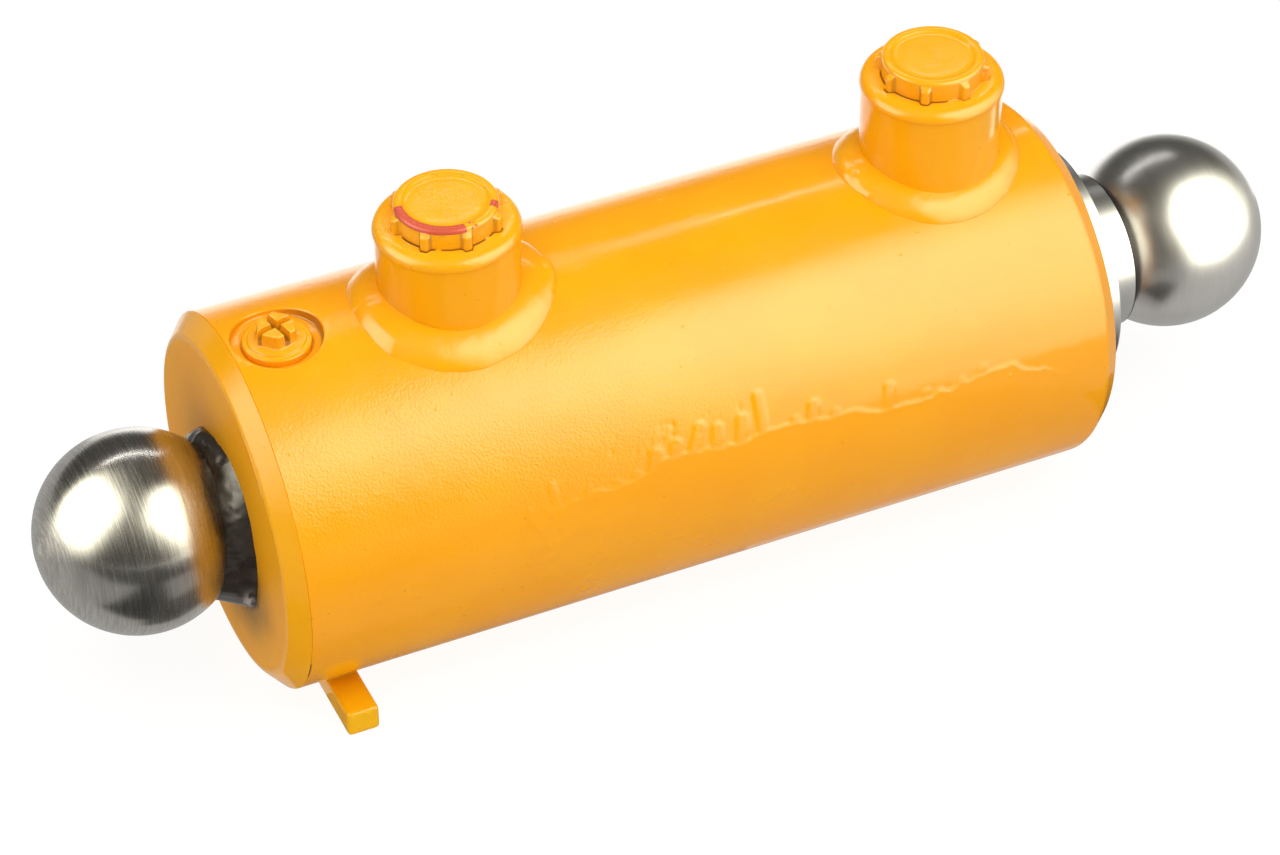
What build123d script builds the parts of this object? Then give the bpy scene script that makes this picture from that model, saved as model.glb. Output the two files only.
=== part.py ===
from build123d import *

import os
from math import cos, radians, sin, sqrt

# Telescopic hydraulic cylinder with two moving stages, a ball at each end, two welded
# port bosses and a spot-faced bleed port, all closed with plastic plugs.
# Millimetres. The origin is the centre of the base ball, +X runs along the cylinder
# towards the rod ball and +Z points up through the port bosses.

os.makedirs("parts", exist_ok=True)

# Balls
ball_radius = 25.0
rod_ball_x = 281.4
ball_spigot_radius = 11.0
ball_spigot_length = 6.0
ball_stud_radius = 9.0
ball_stud_length = 16.5

# Barrel and base cap
base_face = 22.0
barrel_radius = 47.5
barrel_bore = 37.5
barrel_start = 26.4
barrel_end = 242.5
base_chamfer_depth = 5.1
head_chamfer_length = 4.2
head_chamfer_depth = 3.8
cap_inner_face = 32.5
cap_weld_leg = 3.5
ball_weld_toe = 22.0
ball_weld_start = 16.0
ball_weld_crown_back = 2.4
ball_weld_crown_in = 0.6

# Port bosses with G1/2 ports, and the G1/4 bleed port
boss_radius = 17.4
base_port_x = 82.5
head_port_x = 210.6
base_boss_top = 64.5
head_boss_top = 68.0
base_weld_toe = 24.8
head_weld_toe = 22.6
boss_weld_leg = 2.9
boss_weld_crown_out = 0.3
boss_weld_crown_up = 0.5
boss_weld_overlap = 2.0
boss_weld_sink = 3.0
boss_weld_sections = 7
port_thread_radius = 9.3155
port_thread_depth = 14.0
oil_way_radius = 6.0
bleed_port_x = 38.6
bleed_thread_radius = 5.7225
spot_face_radius = 11.0
spot_face_floor = 43.6

# Plugs
thread_clearance = 0.05
plug_flange_radius = 17.8
plug_flange_thickness = 3.0
plug_flange_rounding = 2.0
plug_knob_radius = 12.5
plug_knob_height = 5.5
plug_knob_chamfer_height = 1.2
plug_knob_chamfer_width = 0.7
plug_rib_radius = 1.4
plug_rib_inset = 0.2
plug_rib_count = 8
plug_dish_radius = 10.1
plug_dish_depth = 0.6
plug_wall = 2.2
plug_stem_length = 12.0
base_plug_turn = 0.0
head_plug_turn = 10.0
bleed_flange_radius = 8.3
bleed_flange_thickness = 2.2
bleed_flange_rounding = 0.8
bleed_ring_radius = 6.9
bleed_ring_height = 0.6
bleed_hex_flats = 9.0
bleed_hex_height = 3.9
bleed_hex_turn = 16.0
bleed_hex_chamfer = 0.4
bleed_slot_width = 1.3
bleed_slot_depth = 2.9
bleed_stem_length = 5.0

# Stop tab under the barrel
tab_start = 36.0
tab_width = 8.2
tab_thickness = 7.0
tab_reach = 40.5
tab_root = 12.0
tab_rounding = 1.8
tab_lower_rounding = 1.44
tab_upper_rounding = 0.5
tab_trim_margin = 1.0
tab_weld_inset = 0.6
tab_bead_inner = 23.0
tab_bead_outer = 27.0
tab_bead_height = 3.0
tab_bead_edge = 1.7
tab_bead_edge_inset = 0.1
tab_end_bead_length = 5.0
tab_end_bead_height = 3.0
tab_end_bead_edge = 0.8

# First stage
stage_radius = 31.5
stage_bore = 25.0
stage_start = 35.0
stage_end = 251.0
stage_edge_chamfer = 0.5
collar_seat_radius = 29.5
collar_start = 41.0
collar_end = 62.0
collar_radius = 37.2
collar_groove_radius = 35.3
collar_hole_circle = 32.4
outer_ring_start = 38.5
outer_ring_root = 28.3
inner_ring_start = 41.0
inner_ring_root = 26.2
inner_ring_radius = 21.5
retaining_ring_width = 2.0
retaining_ring_gap = 8.0
retaining_ring_depth = 3.0

# Rod
rod_radius = 20.0
rod_start = 36.0
rod_end = 262.0
rod_edge_chamfer = 0.3
rod_seat_radius = 10.0
rod_collar_start = 44.5
rod_collar_end = 60.5
rod_collar_radius = 24.7
rod_collar_groove_radius = 22.8
rod_collar_hole_circle = 19.9
rod_nut_flats = 30.0
rod_nut_start = 37.5

# Glands, seals and guides
running_clearance = 0.05
land_clearance = 0.5
head_gland_start = 217.5
head_gland_end = 242.0
head_gland_radius = 40.0
head_thread_start = 217.0
stage_gland_start = 226.0
stage_gland_end = 250.5
stage_gland_radius = 27.5
band_width = 8.0
flow_hole_count = 6
flow_hole_radius = 1.75
spanner_hole_count = 4
spanner_hole_depth = 5.0
spanner_hole_turn = 45
head_spanner_hole_radius = 1.5
stage_spanner_hole_radius = 1.1
gland_front_land = 2.0
gland_wiper_land = 2.5
guide_groove_depth = 2.0
seal_groove_depth = 4.0
wiper_groove_depth = 3.5
head_guide_width = 6.5
head_guide_land = 1.5
head_seal_width = 6.0
head_cord_radius = 1.0
head_cord_inset = 4.0
head_cord_groove_half = 1.4
stage_guide_width = 6.0
stage_guide_land = 2.0
stage_seal_width = 5.5
stage_cord_radius = 0.8
stage_cord_inset = 4.2
stage_cord_groove_half = 1.2
cup_depth_share = 0.45
cup_relief = 0.3
wiper_relief = 0.6
wiper_lip_length = 1.2
wiper_lip_inset = 1.4
wiper_reach = 0.9
wiper_shoulder = 0.6

# Worked out from the sizes above
head_land = stage_radius + land_clearance
stage_land = rod_radius + land_clearance
stage_fit = stage_radius + running_clearance
rod_fit = rod_radius + running_clearance


def turned(points):
    """A solid of revolution about X from a closed outline of (x, radius) points."""
    with BuildPart() as piece:
        with BuildSketch(Plane.XZ):
            with BuildLine():
                Polyline(*points, close=True)
            make_face()
        revolve(axis=Axis.X)
    return piece


def plain_ring(start, end, inner, outer):
    """A rectangular ring about X."""
    return turned([(start, inner), (end, inner), (end, outer), (start, outer)])


def o_ring(centre_x, centre_radius, cord_radius):
    """A round-section ring about X."""
    with BuildPart() as piece:
        with BuildSketch(Plane.XZ):
            with Locations((centre_x, centre_radius)):
                Circle(cord_radius)
        revolve(axis=Axis.X)
    return piece


def u_cup(start, end, inner, outer):
    """A lip seal about X whose groove opens towards the oil, on the -X side."""
    middle = (inner + outer) / 2
    lip = (outer - inner) / 4
    depth = (end - start) * cup_depth_share
    return turned(
        [
            (start, inner),
            (start, middle - lip),
            (start + depth, middle),
            (start, middle + lip),
            (start, outer),
            (end, outer),
            (end, inner + cup_relief),
            (start + depth, inner + cup_relief),
        ]
    )


def wiper(start, end, inner, outer):
    """A scraper ring about X whose lip reaches out past its groove, on the +X side."""
    lip_start = end - wiper_lip_inset
    return turned(
        [
            (start, outer),
            (start, inner + wiper_relief),
            (lip_start - wiper_lip_length, inner + wiper_relief),
            (lip_start, inner),
            (end + wiper_reach, inner),
            (end + wiper_reach, inner + wiper_relief),
            (end - wiper_shoulder, (inner + outer) / 2),
            (end - wiper_shoulder, outer),
        ]
    )


def retaining_ring(start, inner, outer):
    """An open spring ring about X with its gap at the bottom."""
    with BuildPart() as piece:
        with BuildSketch(Plane.YZ.offset(start)):
            Circle(outer)
            Circle(inner, mode=Mode.SUBTRACT)
            with Locations((0, -outer)):
                Rectangle(retaining_ring_gap, 2 * outer - inner, mode=Mode.SUBTRACT)
        extrude(amount=retaining_ring_width)
    return piece


def guide_collar(start, end, inner, outer, groove, hole_circle):
    """A stop collar about X with a guide band groove round it and oil holes through it."""
    band_start = (start + end - band_width) / 2
    band_end = band_start + band_width
    with BuildPart() as piece:
        with BuildSketch(Plane.XZ):
            with BuildLine():
                Polyline(
                    (start, inner),
                    (end, inner),
                    (end, outer),
                    (band_end, outer),
                    (band_end, groove),
                    (band_start, groove),
                    (band_start, outer),
                    (start, outer),
                    close=True,
                )
            make_face()
        revolve(axis=Axis.X)
        with BuildSketch(Plane.YZ.offset(start)):
            with PolarLocations(hole_circle, flow_hole_count):
                Circle(flow_hole_radius)
        extrude(amount=end - start, mode=Mode.SUBTRACT)
    return piece


# Base ball: a sphere cut flat on the base face, with a spigot into the base cap
with BuildPart() as base_ball:
    Sphere(ball_radius)
    split(bisect_by=Plane.YZ.offset(base_face), keep=Keep.BOTTOM)
    with BuildSketch(Plane.YZ.offset(base_face)):
        Circle(ball_spigot_radius)
    extrude(amount=ball_spigot_length)
base_ball.part.label = "base_ball"
export_step(base_ball.part, "parts/base_ball.step")

# Base ball weld: a convex bead between the sphere and the base face
toe_on_ball = sqrt(ball_radius**2 - ball_weld_start**2)
root_on_ball = sqrt(ball_radius**2 - base_face**2)
root_middle_x = (ball_weld_start + base_face) / 2
root_middle = sqrt(ball_radius**2 - root_middle_x**2)
with BuildPart() as base_ball_weld:
    with BuildSketch(Plane.XZ):
        with BuildLine():
            ThreePointArc(
                (ball_weld_start, toe_on_ball),
                (base_face - ball_weld_crown_back, ball_weld_toe - ball_weld_crown_in),
                (base_face, ball_weld_toe),
            )
            Line((base_face, ball_weld_toe), (base_face, root_on_ball))
            ThreePointArc(
                (base_face, root_on_ball),
                (root_middle_x, root_middle),
                (ball_weld_start, toe_on_ball),
            )
        make_face()
    revolve(axis=Axis.X)
base_ball_weld.part.label = "base_ball_weld"
export_step(base_ball_weld.part, "parts/base_ball_weld.step")

# Base cap: a chamfered disc with a register in the barrel bore and a pocket for the ball
base_cap = turned(
    [
        (base_face + ball_spigot_length, 0),
        (base_face + ball_spigot_length, ball_spigot_radius),
        (base_face, ball_spigot_radius),
        (base_face, barrel_radius - base_chamfer_depth),
        (barrel_start, barrel_radius),
        (barrel_start, barrel_bore),
        (cap_inner_face, barrel_bore),
        (cap_inner_face, 0),
    ]
)
base_cap.part.label = "base_cap"
export_step(base_cap.part, "parts/base_cap.step")

# Base cap weld: fills the bevel of the barrel's base end, machined flush
base_cap_weld = turned(
    [
        (barrel_start, barrel_radius - cap_weld_leg),
        (barrel_start + cap_weld_leg, barrel_radius),
        (barrel_start, barrel_radius),
    ]
)
base_cap_weld.part.label = "base_cap_weld"
export_step(base_cap_weld.part, "parts/base_cap_weld.step")

# Barrel tube: bored for the gland thread, drilled for two ports and the bleed port
with BuildPart() as barrel_tube:
    with BuildSketch(Plane.XZ):
        with BuildLine():
            Polyline(
                (barrel_start, barrel_bore),
                (barrel_start, barrel_radius - cap_weld_leg),
                (barrel_start + cap_weld_leg, barrel_radius),
                (barrel_end - head_chamfer_length, barrel_radius),
                (barrel_end, barrel_radius - head_chamfer_depth),
                (barrel_end, head_gland_radius),
                (head_thread_start, head_gland_radius),
                (head_thread_start, barrel_bore),
                close=True,
            )
        make_face()
    revolve(axis=Axis.X)
    with BuildSketch(Plane.XY):
        with Locations((base_port_x, 0), (head_port_x, 0)):
            Circle(oil_way_radius)
    extrude(amount=barrel_radius, mode=Mode.SUBTRACT)
    with BuildSketch(Plane.XY):
        with Locations((bleed_port_x, 0)):
            Circle(bleed_thread_radius)
    extrude(amount=barrel_radius, mode=Mode.SUBTRACT)
    with BuildSketch(Plane.XY.offset(spot_face_floor)):
        with Locations((bleed_port_x, 0)):
            Circle(spot_face_radius)
    extrude(amount=barrel_radius, mode=Mode.SUBTRACT)
barrel_tube.part.label = "barrel_tube"
export_step(barrel_tube.part, "parts/barrel_tube.step")


def port_boss(port_x, top):
    """A round boss, saddled on the barrel, with a G1/2 port and an oil way."""
    with BuildPart() as boss:
        with BuildSketch(Plane.XY.offset(barrel_bore)):
            with Locations((port_x, 0)):
                Circle(boss_radius)
        extrude(amount=top - barrel_bore)
        with BuildSketch(Plane.YZ.offset(port_x - 2 * boss_radius)):
            Circle(barrel_radius)
        extrude(amount=4 * boss_radius, mode=Mode.SUBTRACT)
        with BuildSketch(Plane.XY.offset(barrel_bore)):
            with Locations((port_x, 0)):
                Circle(oil_way_radius)
        extrude(amount=top - barrel_bore, mode=Mode.SUBTRACT)
        with BuildSketch(Plane.XY.offset(top - port_thread_depth)):
            with Locations((port_x, 0)):
                Circle(port_thread_radius)
        extrude(amount=port_thread_depth, mode=Mode.SUBTRACT)
    return boss


def boss_weld(port_x, toe):
    """The bead round a port boss, lofted over a quarter turn and mirrored twice."""
    with BuildPart() as weld:
        for step in range(boss_weld_sections):
            angle = radians(90 * step / (boss_weld_sections - 1))
            across = sin(angle)
            root_z = sqrt(barrel_radius**2 - (boss_radius * across) ** 2)
            toe_z = sqrt(barrel_radius**2 - (toe * across) ** 2)
            half_plane = Plane(
                origin=(port_x, 0, 0),
                x_dir=(cos(angle), sin(angle), 0),
                z_dir=(sin(angle), -cos(angle), 0),
            )
            with BuildSketch(half_plane):
                with BuildLine():
                    crown = ThreePointArc(
                        (boss_radius, root_z + boss_weld_leg),
                        (
                            (boss_radius + toe) / 2 + boss_weld_crown_out,
                            (root_z + toe_z + boss_weld_leg) / 2 + boss_weld_crown_up,
                        ),
                        (toe, toe_z),
                    )
                    Polyline(
                        crown @ 1,
                        (toe, toe_z - boss_weld_sink),
                        (boss_radius - boss_weld_overlap, root_z - boss_weld_sink),
                        (boss_radius - boss_weld_overlap, root_z + boss_weld_leg),
                        crown @ 0,
                    )
                make_face()
        loft()
        mirror(about=Plane.XZ)
        mirror(about=Plane.YZ.offset(port_x))
        with BuildSketch(Plane.YZ.offset(port_x - 2 * toe)):
            Circle(barrel_radius)
        extrude(amount=4 * toe, mode=Mode.SUBTRACT)
        with BuildSketch(Plane.XY):
            with Locations((port_x, 0)):
                Circle(boss_radius)
        extrude(amount=2 * barrel_radius, mode=Mode.SUBTRACT)
    return weld


# Base port boss and its weld
base_port_boss = port_boss(base_port_x, base_boss_top)
base_port_boss.part.label = "base_port_boss"
export_step(base_port_boss.part, "parts/base_port_boss.step")

base_port_boss_weld = boss_weld(base_port_x, base_weld_toe)
base_port_boss_weld.part.label = "base_port_boss_weld"
export_step(base_port_boss_weld.part, "parts/base_port_boss_weld.step")

# Head port boss, a little taller, and its weld
head_port_boss = port_boss(head_port_x, head_boss_top)
head_port_boss.part.label = "head_port_boss"
export_step(head_port_boss.part, "parts/head_port_boss.step")

head_port_boss_weld = boss_weld(head_port_x, head_weld_toe)
head_port_boss_weld.part.label = "head_port_boss_weld"
export_step(head_port_boss_weld.part, "parts/head_port_boss_weld.step")


def port_plug(port_x, seat, turn):
    """A hollow plastic screw plug with a wide flange and a ribbed, dished knob."""
    knob_base = seat + plug_flange_thickness
    knob_top = knob_base + plug_knob_height
    stem_radius = port_thread_radius - thread_clearance
    with BuildPart() as plug:
        with BuildSketch(Plane.XY.offset(seat)):
            with Locations((port_x, 0)):
                Circle(plug_flange_radius)
        extrude(amount=plug_flange_thickness)
        flange_rim = plug.edges().filter_by(GeomType.CIRCLE).sort_by(Axis.Z)[-1]
        fillet(flange_rim, radius=plug_flange_rounding)
        with BuildSketch(Plane.XY.offset(knob_base)):
            with Locations((port_x, 0)):
                Circle(plug_knob_radius)
        extrude(amount=plug_knob_height)
        knob_rim = plug.edges().filter_by(GeomType.CIRCLE).sort_by(Axis.Z)[-1]
        chamfer(knob_rim, length=plug_knob_chamfer_height, length2=plug_knob_chamfer_width)
        with BuildSketch(Plane.XY.offset(knob_base)):
            with Locations(Location((port_x, 0, 0), (0, 0, turn))):
                with PolarLocations(plug_knob_radius - plug_rib_inset, plug_rib_count):
                    Circle(plug_rib_radius)
        extrude(amount=plug_knob_height - plug_knob_chamfer_height)
        with BuildSketch(Plane.XY.offset(knob_top - plug_dish_depth)):
            with Locations((port_x, 0)):
                Circle(plug_dish_radius)
        extrude(amount=plug_dish_depth, mode=Mode.SUBTRACT)
        with BuildSketch(Plane.XY.offset(seat - plug_stem_length)):
            with Locations((port_x, 0)):
                Circle(stem_radius)
        extrude(amount=plug_stem_length)
        with BuildSketch(Plane.XY.offset(seat - plug_stem_length)):
            with Locations((port_x, 0)):
                Circle(stem_radius - plug_wall)
        hollow = plug_stem_length + plug_flange_thickness + plug_knob_height
        extrude(amount=hollow - plug_dish_depth - plug_wall, mode=Mode.SUBTRACT)
    return plug


# Port plugs
base_port_plug = port_plug(base_port_x, base_boss_top, base_plug_turn)
base_port_plug.part.label = "base_port_plug"
export_step(base_port_plug.part, "parts/base_port_plug.step")

head_port_plug = port_plug(head_port_x, head_boss_top, head_plug_turn)
head_port_plug.part.label = "head_port_plug"
export_step(head_port_plug.part, "parts/head_port_plug.step")

# Bleed plug: flange and raised ring in the spot face, a hexagon with a cross slot, a stem
bleed_flange_top = spot_face_floor + bleed_flange_thickness
bleed_hex_base = bleed_flange_top + bleed_ring_height
with BuildPart() as bleed_plug:
    with BuildSketch(Plane.XY.offset(spot_face_floor)):
        with Locations((bleed_port_x, 0)):
            Circle(bleed_flange_radius)
    extrude(amount=bleed_flange_thickness)
    bleed_rim = bleed_plug.edges().filter_by(GeomType.CIRCLE).sort_by(Axis.Z)[-1]
    fillet(bleed_rim, radius=bleed_flange_rounding)
    with BuildSketch(Plane.XY.offset(bleed_flange_top)):
        with Locations((bleed_port_x, 0)):
            Circle(bleed_ring_radius)
    extrude(amount=bleed_ring_height)
    with BuildSketch(Plane.XY.offset(bleed_hex_base)):
        with Locations((bleed_port_x, 0)):
            RegularPolygon(bleed_hex_flats / 2, 6, major_radius=False, rotation=bleed_hex_turn)
    extrude(amount=bleed_hex_height)
    hex_top = bleed_plug.faces().sort_by(Axis.Z)[-1]
    chamfer(hex_top.edges(), length=bleed_hex_chamfer)
    with BuildSketch(Plane.XY.offset(bleed_hex_base + bleed_hex_height - bleed_slot_depth)):
        with Locations(Location((bleed_port_x, 0, 0), (0, 0, bleed_hex_turn))):
            Rectangle(2 * bleed_hex_flats, bleed_slot_width)
            Rectangle(bleed_slot_width, 2 * bleed_hex_flats)
    extrude(amount=bleed_slot_depth, mode=Mode.SUBTRACT)
    with BuildSketch(Plane.XY.offset(spot_face_floor - bleed_stem_length)):
        with Locations((bleed_port_x, 0)):
            Circle(bleed_thread_radius - thread_clearance)
    extrude(amount=bleed_stem_length)
bleed_plug.part.label = "bleed_plug"
export_step(bleed_plug.part, "parts/bleed_plug.step")

# Stop tab: a short flat bar whose underside is level with the bottom of the barrel
tab_top = tab_thickness - barrel_radius
with BuildPart() as stop_tab:
    with BuildSketch(Plane.XY.offset(-barrel_radius)):
        with Locations((tab_start + tab_width / 2, -(tab_reach + tab_root) / 2)):
            Rectangle(tab_width, tab_reach - tab_root)
    extrude(amount=tab_thickness)
    outer_corners = stop_tab.edges().filter_by(Axis.Z).sort_by(Axis.Y)[0:2]
    fillet(outer_corners, radius=tab_rounding)
    lower_rim = stop_tab.faces().sort_by(Axis.Z)[0].edges().sort_by(Axis.Y)[0:-1]
    fillet(lower_rim, radius=tab_lower_rounding)
    upper_rim = stop_tab.faces().sort_by(Axis.Z)[-1].edges().sort_by(Axis.Y)[0:-1]
    fillet(upper_rim, radius=tab_upper_rounding)
    with BuildSketch(Plane.YZ.offset(tab_start - tab_trim_margin)):
        Circle(barrel_radius)
    extrude(amount=tab_width + 2 * tab_trim_margin, mode=Mode.SUBTRACT)
stop_tab.part.label = "stop_tab"
export_step(stop_tab.part, "parts/stop_tab.step")

# Stop tab weld: a root bead above the tab and a second one behind its thin end
with BuildPart() as stop_tab_weld:
    with BuildSketch(Plane.YZ.offset(tab_start + tab_weld_inset)):
        with BuildLine():
            Polyline(
                (-tab_bead_inner, tab_top),
                (-tab_bead_outer, tab_top),
                (-tab_bead_outer + tab_bead_edge_inset, tab_top + tab_bead_edge),
                (-tab_bead_inner, tab_top + tab_bead_height),
                close=True,
            )
        make_face()
        with BuildLine():
            Polyline(
                (-tab_root, -barrel_radius),
                (-tab_root, -barrel_radius + tab_end_bead_height),
                (-tab_root + tab_end_bead_length, -barrel_radius + tab_end_bead_height),
                (-tab_root + tab_end_bead_length, -barrel_radius + tab_end_bead_edge),
                close=True,
            )
        make_face()
    extrude(amount=tab_width - 2 * tab_weld_inset)
    with BuildSketch(Plane.YZ.offset(tab_start - tab_trim_margin)):
        Circle(barrel_radius)
    extrude(amount=tab_width + 2 * tab_trim_margin, mode=Mode.SUBTRACT)
stop_tab_weld.part.label = "stop_tab_weld"
export_step(stop_tab_weld.part, "parts/stop_tab_weld.step")

# Head gland: screwed into the barrel, grooved for a guide, a seal, a wiper and an o-ring
head_guide_start = head_gland_start + gland_front_land
head_guide_end = head_guide_start + head_guide_width
head_seal_start = head_guide_end + head_guide_land
head_seal_end = head_seal_start + head_seal_width
head_wiper_start = head_seal_end + gland_wiper_land
head_guide_groove = head_land + guide_groove_depth
head_seal_groove = head_land + seal_groove_depth
head_wiper_groove = head_land + wiper_groove_depth
head_cord_x = head_gland_start + head_cord_inset
head_spanner_circle = (head_gland_radius + head_wiper_groove) / 2
with BuildPart() as head_gland:
    with BuildSketch(Plane.XZ):
        with BuildLine():
            Polyline(
                (head_gland_start, head_land),
                (head_gland_start, head_gland_radius),
                (head_cord_x - head_cord_groove_half, head_gland_radius),
                (head_cord_x - head_cord_groove_half, head_gland_radius - 2 * head_cord_radius),
                (head_cord_x + head_cord_groove_half, head_gland_radius - 2 * head_cord_radius),
                (head_cord_x + head_cord_groove_half, head_gland_radius),
                (head_gland_end, head_gland_radius),
                (head_gland_end, head_wiper_groove),
                (head_wiper_start, head_wiper_groove),
                (head_wiper_start, head_land),
                (head_seal_end, head_land),
                (head_seal_end, head_seal_groove),
                (head_seal_start, head_seal_groove),
                (head_seal_start, head_land),
                (head_guide_end, head_land),
                (head_guide_end, head_guide_groove),
                (head_guide_start, head_guide_groove),
                (head_guide_start, head_land),
                close=True,
            )
        make_face()
    revolve(axis=Axis.X)
    with BuildSketch(Plane.YZ.offset(head_gland_end - spanner_hole_depth)):
        with PolarLocations(head_spanner_circle, spanner_hole_count, spanner_hole_turn):
            Circle(head_spanner_hole_radius)
    extrude(amount=spanner_hole_depth, mode=Mode.SUBTRACT)
head_gland.part.label = "head_gland"
export_step(head_gland.part, "parts/head_gland.step")

# Head gland seals
head_gland_o_ring = o_ring(head_cord_x, head_gland_radius - head_cord_radius, head_cord_radius)
head_gland_o_ring.part.label = "head_gland_o_ring"
export_step(head_gland_o_ring.part, "parts/head_gland_o_ring.step")

stage_guide_ring = plain_ring(head_guide_start, head_guide_end, stage_fit, head_guide_groove)
stage_guide_ring.part.label = "stage_guide_ring"
export_step(stage_guide_ring.part, "parts/stage_guide_ring.step")

stage_seal = u_cup(head_seal_start, head_seal_end, stage_fit, head_seal_groove)
stage_seal.part.label = "stage_seal"
export_step(stage_seal.part, "parts/stage_seal.step")

stage_wiper = wiper(head_wiper_start, head_gland_end, stage_fit, head_wiper_groove)
stage_wiper.part.label = "stage_wiper"
export_step(stage_wiper.part, "parts/stage_wiper.step")

# First stage tube: a chromed tube with a collar seat, two ring grooves and a gland thread
stage_tube = turned(
    [
        (stage_start, stage_bore),
        (stage_start, collar_seat_radius),
        (outer_ring_start, collar_seat_radius),
        (outer_ring_start, outer_ring_root),
        (outer_ring_start + retaining_ring_width, outer_ring_root),
        (outer_ring_start + retaining_ring_width, collar_seat_radius),
        (collar_end, collar_seat_radius),
        (collar_end, stage_radius),
        (stage_end - stage_edge_chamfer, stage_radius),
        (stage_end, stage_radius - stage_edge_chamfer),
        (stage_end, stage_gland_radius),
        (stage_gland_start, stage_gland_radius),
        (stage_gland_start, stage_bore),
        (inner_ring_start + retaining_ring_width, stage_bore),
        (inner_ring_start + retaining_ring_width, inner_ring_root),
        (inner_ring_start, inner_ring_root),
        (inner_ring_start, stage_bore),
    ]
)
stage_tube.part.label = "stage_tube"
export_step(stage_tube.part, "parts/stage_tube.step")

# First stage collar with its guide band and the spring rings that hold it and the rod in
stage_guide_collar = guide_collar(
    collar_start,
    collar_end,
    collar_seat_radius,
    collar_radius,
    collar_groove_radius,
    collar_hole_circle,
)
stage_guide_collar.part.label = "stage_guide_collar"
export_step(stage_guide_collar.part, "parts/stage_guide_collar.step")

stage_band_start = (collar_start + collar_end - band_width) / 2
stage_guide_band = plain_ring(
    stage_band_start,
    stage_band_start + band_width,
    collar_groove_radius,
    barrel_bore - running_clearance,
)
stage_guide_band.part.label = "stage_guide_band"
export_step(stage_guide_band.part, "parts/stage_guide_band.step")

outer_ring_radius = outer_ring_root + retaining_ring_depth
stage_collar_ring = retaining_ring(outer_ring_start, outer_ring_root, outer_ring_radius)
stage_collar_ring.part.label = "stage_collar_retaining_ring"
export_step(stage_collar_ring.part, "parts/stage_collar_retaining_ring.step")

rod_stop_ring = retaining_ring(inner_ring_start, inner_ring_radius, inner_ring_root)
rod_stop_ring.part.label = "rod_stop_ring"
export_step(rod_stop_ring.part, "parts/rod_stop_ring.step")

# Stage gland: screwed into the first stage tube, grooved like the head gland
stage_guide_start = stage_gland_start + gland_front_land
stage_guide_end = stage_guide_start + stage_guide_width
stage_seal_start = stage_guide_end + stage_guide_land
stage_seal_end = stage_seal_start + stage_seal_width
stage_wiper_start = stage_seal_end + gland_wiper_land
stage_guide_groove = stage_land + guide_groove_depth
stage_seal_groove = stage_land + seal_groove_depth
stage_wiper_groove = stage_land + wiper_groove_depth
stage_cord_x = stage_gland_start + stage_cord_inset
stage_spanner_circle = (stage_gland_radius + stage_wiper_groove) / 2
with BuildPart() as stage_gland:
    with BuildSketch(Plane.XZ):
        with BuildLine():
            Polyline(
                (stage_gland_start, stage_land),
                (stage_gland_start, stage_gland_radius),
                (stage_cord_x - stage_cord_groove_half, stage_gland_radius),
                (stage_cord_x - stage_cord_groove_half, stage_gland_radius - 2 * stage_cord_radius),
                (stage_cord_x + stage_cord_groove_half, stage_gland_radius - 2 * stage_cord_radius),
                (stage_cord_x + stage_cord_groove_half, stage_gland_radius),
                (stage_gland_end, stage_gland_radius),
                (stage_gland_end, stage_wiper_groove),
                (stage_wiper_start, stage_wiper_groove),
                (stage_wiper_start, stage_land),
                (stage_seal_end, stage_land),
                (stage_seal_end, stage_seal_groove),
                (stage_seal_start, stage_seal_groove),
                (stage_seal_start, stage_land),
                (stage_guide_end, stage_land),
                (stage_guide_end, stage_guide_groove),
                (stage_guide_start, stage_guide_groove),
                (stage_guide_start, stage_land),
                close=True,
            )
        make_face()
    revolve(axis=Axis.X)
    with BuildSketch(Plane.YZ.offset(stage_gland_end - spanner_hole_depth)):
        with PolarLocations(stage_spanner_circle, spanner_hole_count, spanner_hole_turn):
            Circle(stage_spanner_hole_radius)
    extrude(amount=spanner_hole_depth, mode=Mode.SUBTRACT)
stage_gland.part.label = "stage_gland"
export_step(stage_gland.part, "parts/stage_gland.step")

# Stage gland seals
stage_gland_o_ring = o_ring(stage_cord_x, stage_gland_radius - stage_cord_radius, stage_cord_radius)
stage_gland_o_ring.part.label = "stage_gland_o_ring"
export_step(stage_gland_o_ring.part, "parts/stage_gland_o_ring.step")

rod_guide_ring = plain_ring(stage_guide_start, stage_guide_end, rod_fit, stage_guide_groove)
rod_guide_ring.part.label = "rod_guide_ring"
export_step(rod_guide_ring.part, "parts/rod_guide_ring.step")

rod_seal = u_cup(stage_seal_start, stage_seal_end, rod_fit, stage_seal_groove)
rod_seal.part.label = "rod_seal"
export_step(rod_seal.part, "parts/rod_seal.step")

rod_wiper = wiper(stage_wiper_start, stage_gland_end, rod_fit, stage_wiper_groove)
rod_wiper.part.label = "rod_wiper"
export_step(rod_wiper.part, "parts/rod_wiper.step")

# Rod: chromed, with a turned seat for its collar and a bore for the ball's stud
piston_rod = turned(
    [
        (rod_start, 0),
        (rod_start, rod_seat_radius),
        (rod_collar_end, rod_seat_radius),
        (rod_collar_end, rod_radius),
        (rod_end - rod_edge_chamfer, rod_radius),
        (rod_end, rod_radius - rod_edge_chamfer),
        (rod_end, ball_stud_radius),
        (rod_end - ball_stud_length, ball_stud_radius),
        (rod_end - ball_stud_length, 0),
    ]
)
piston_rod.part.label = "piston_rod"
export_step(piston_rod.part, "parts/piston_rod.step")

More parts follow.
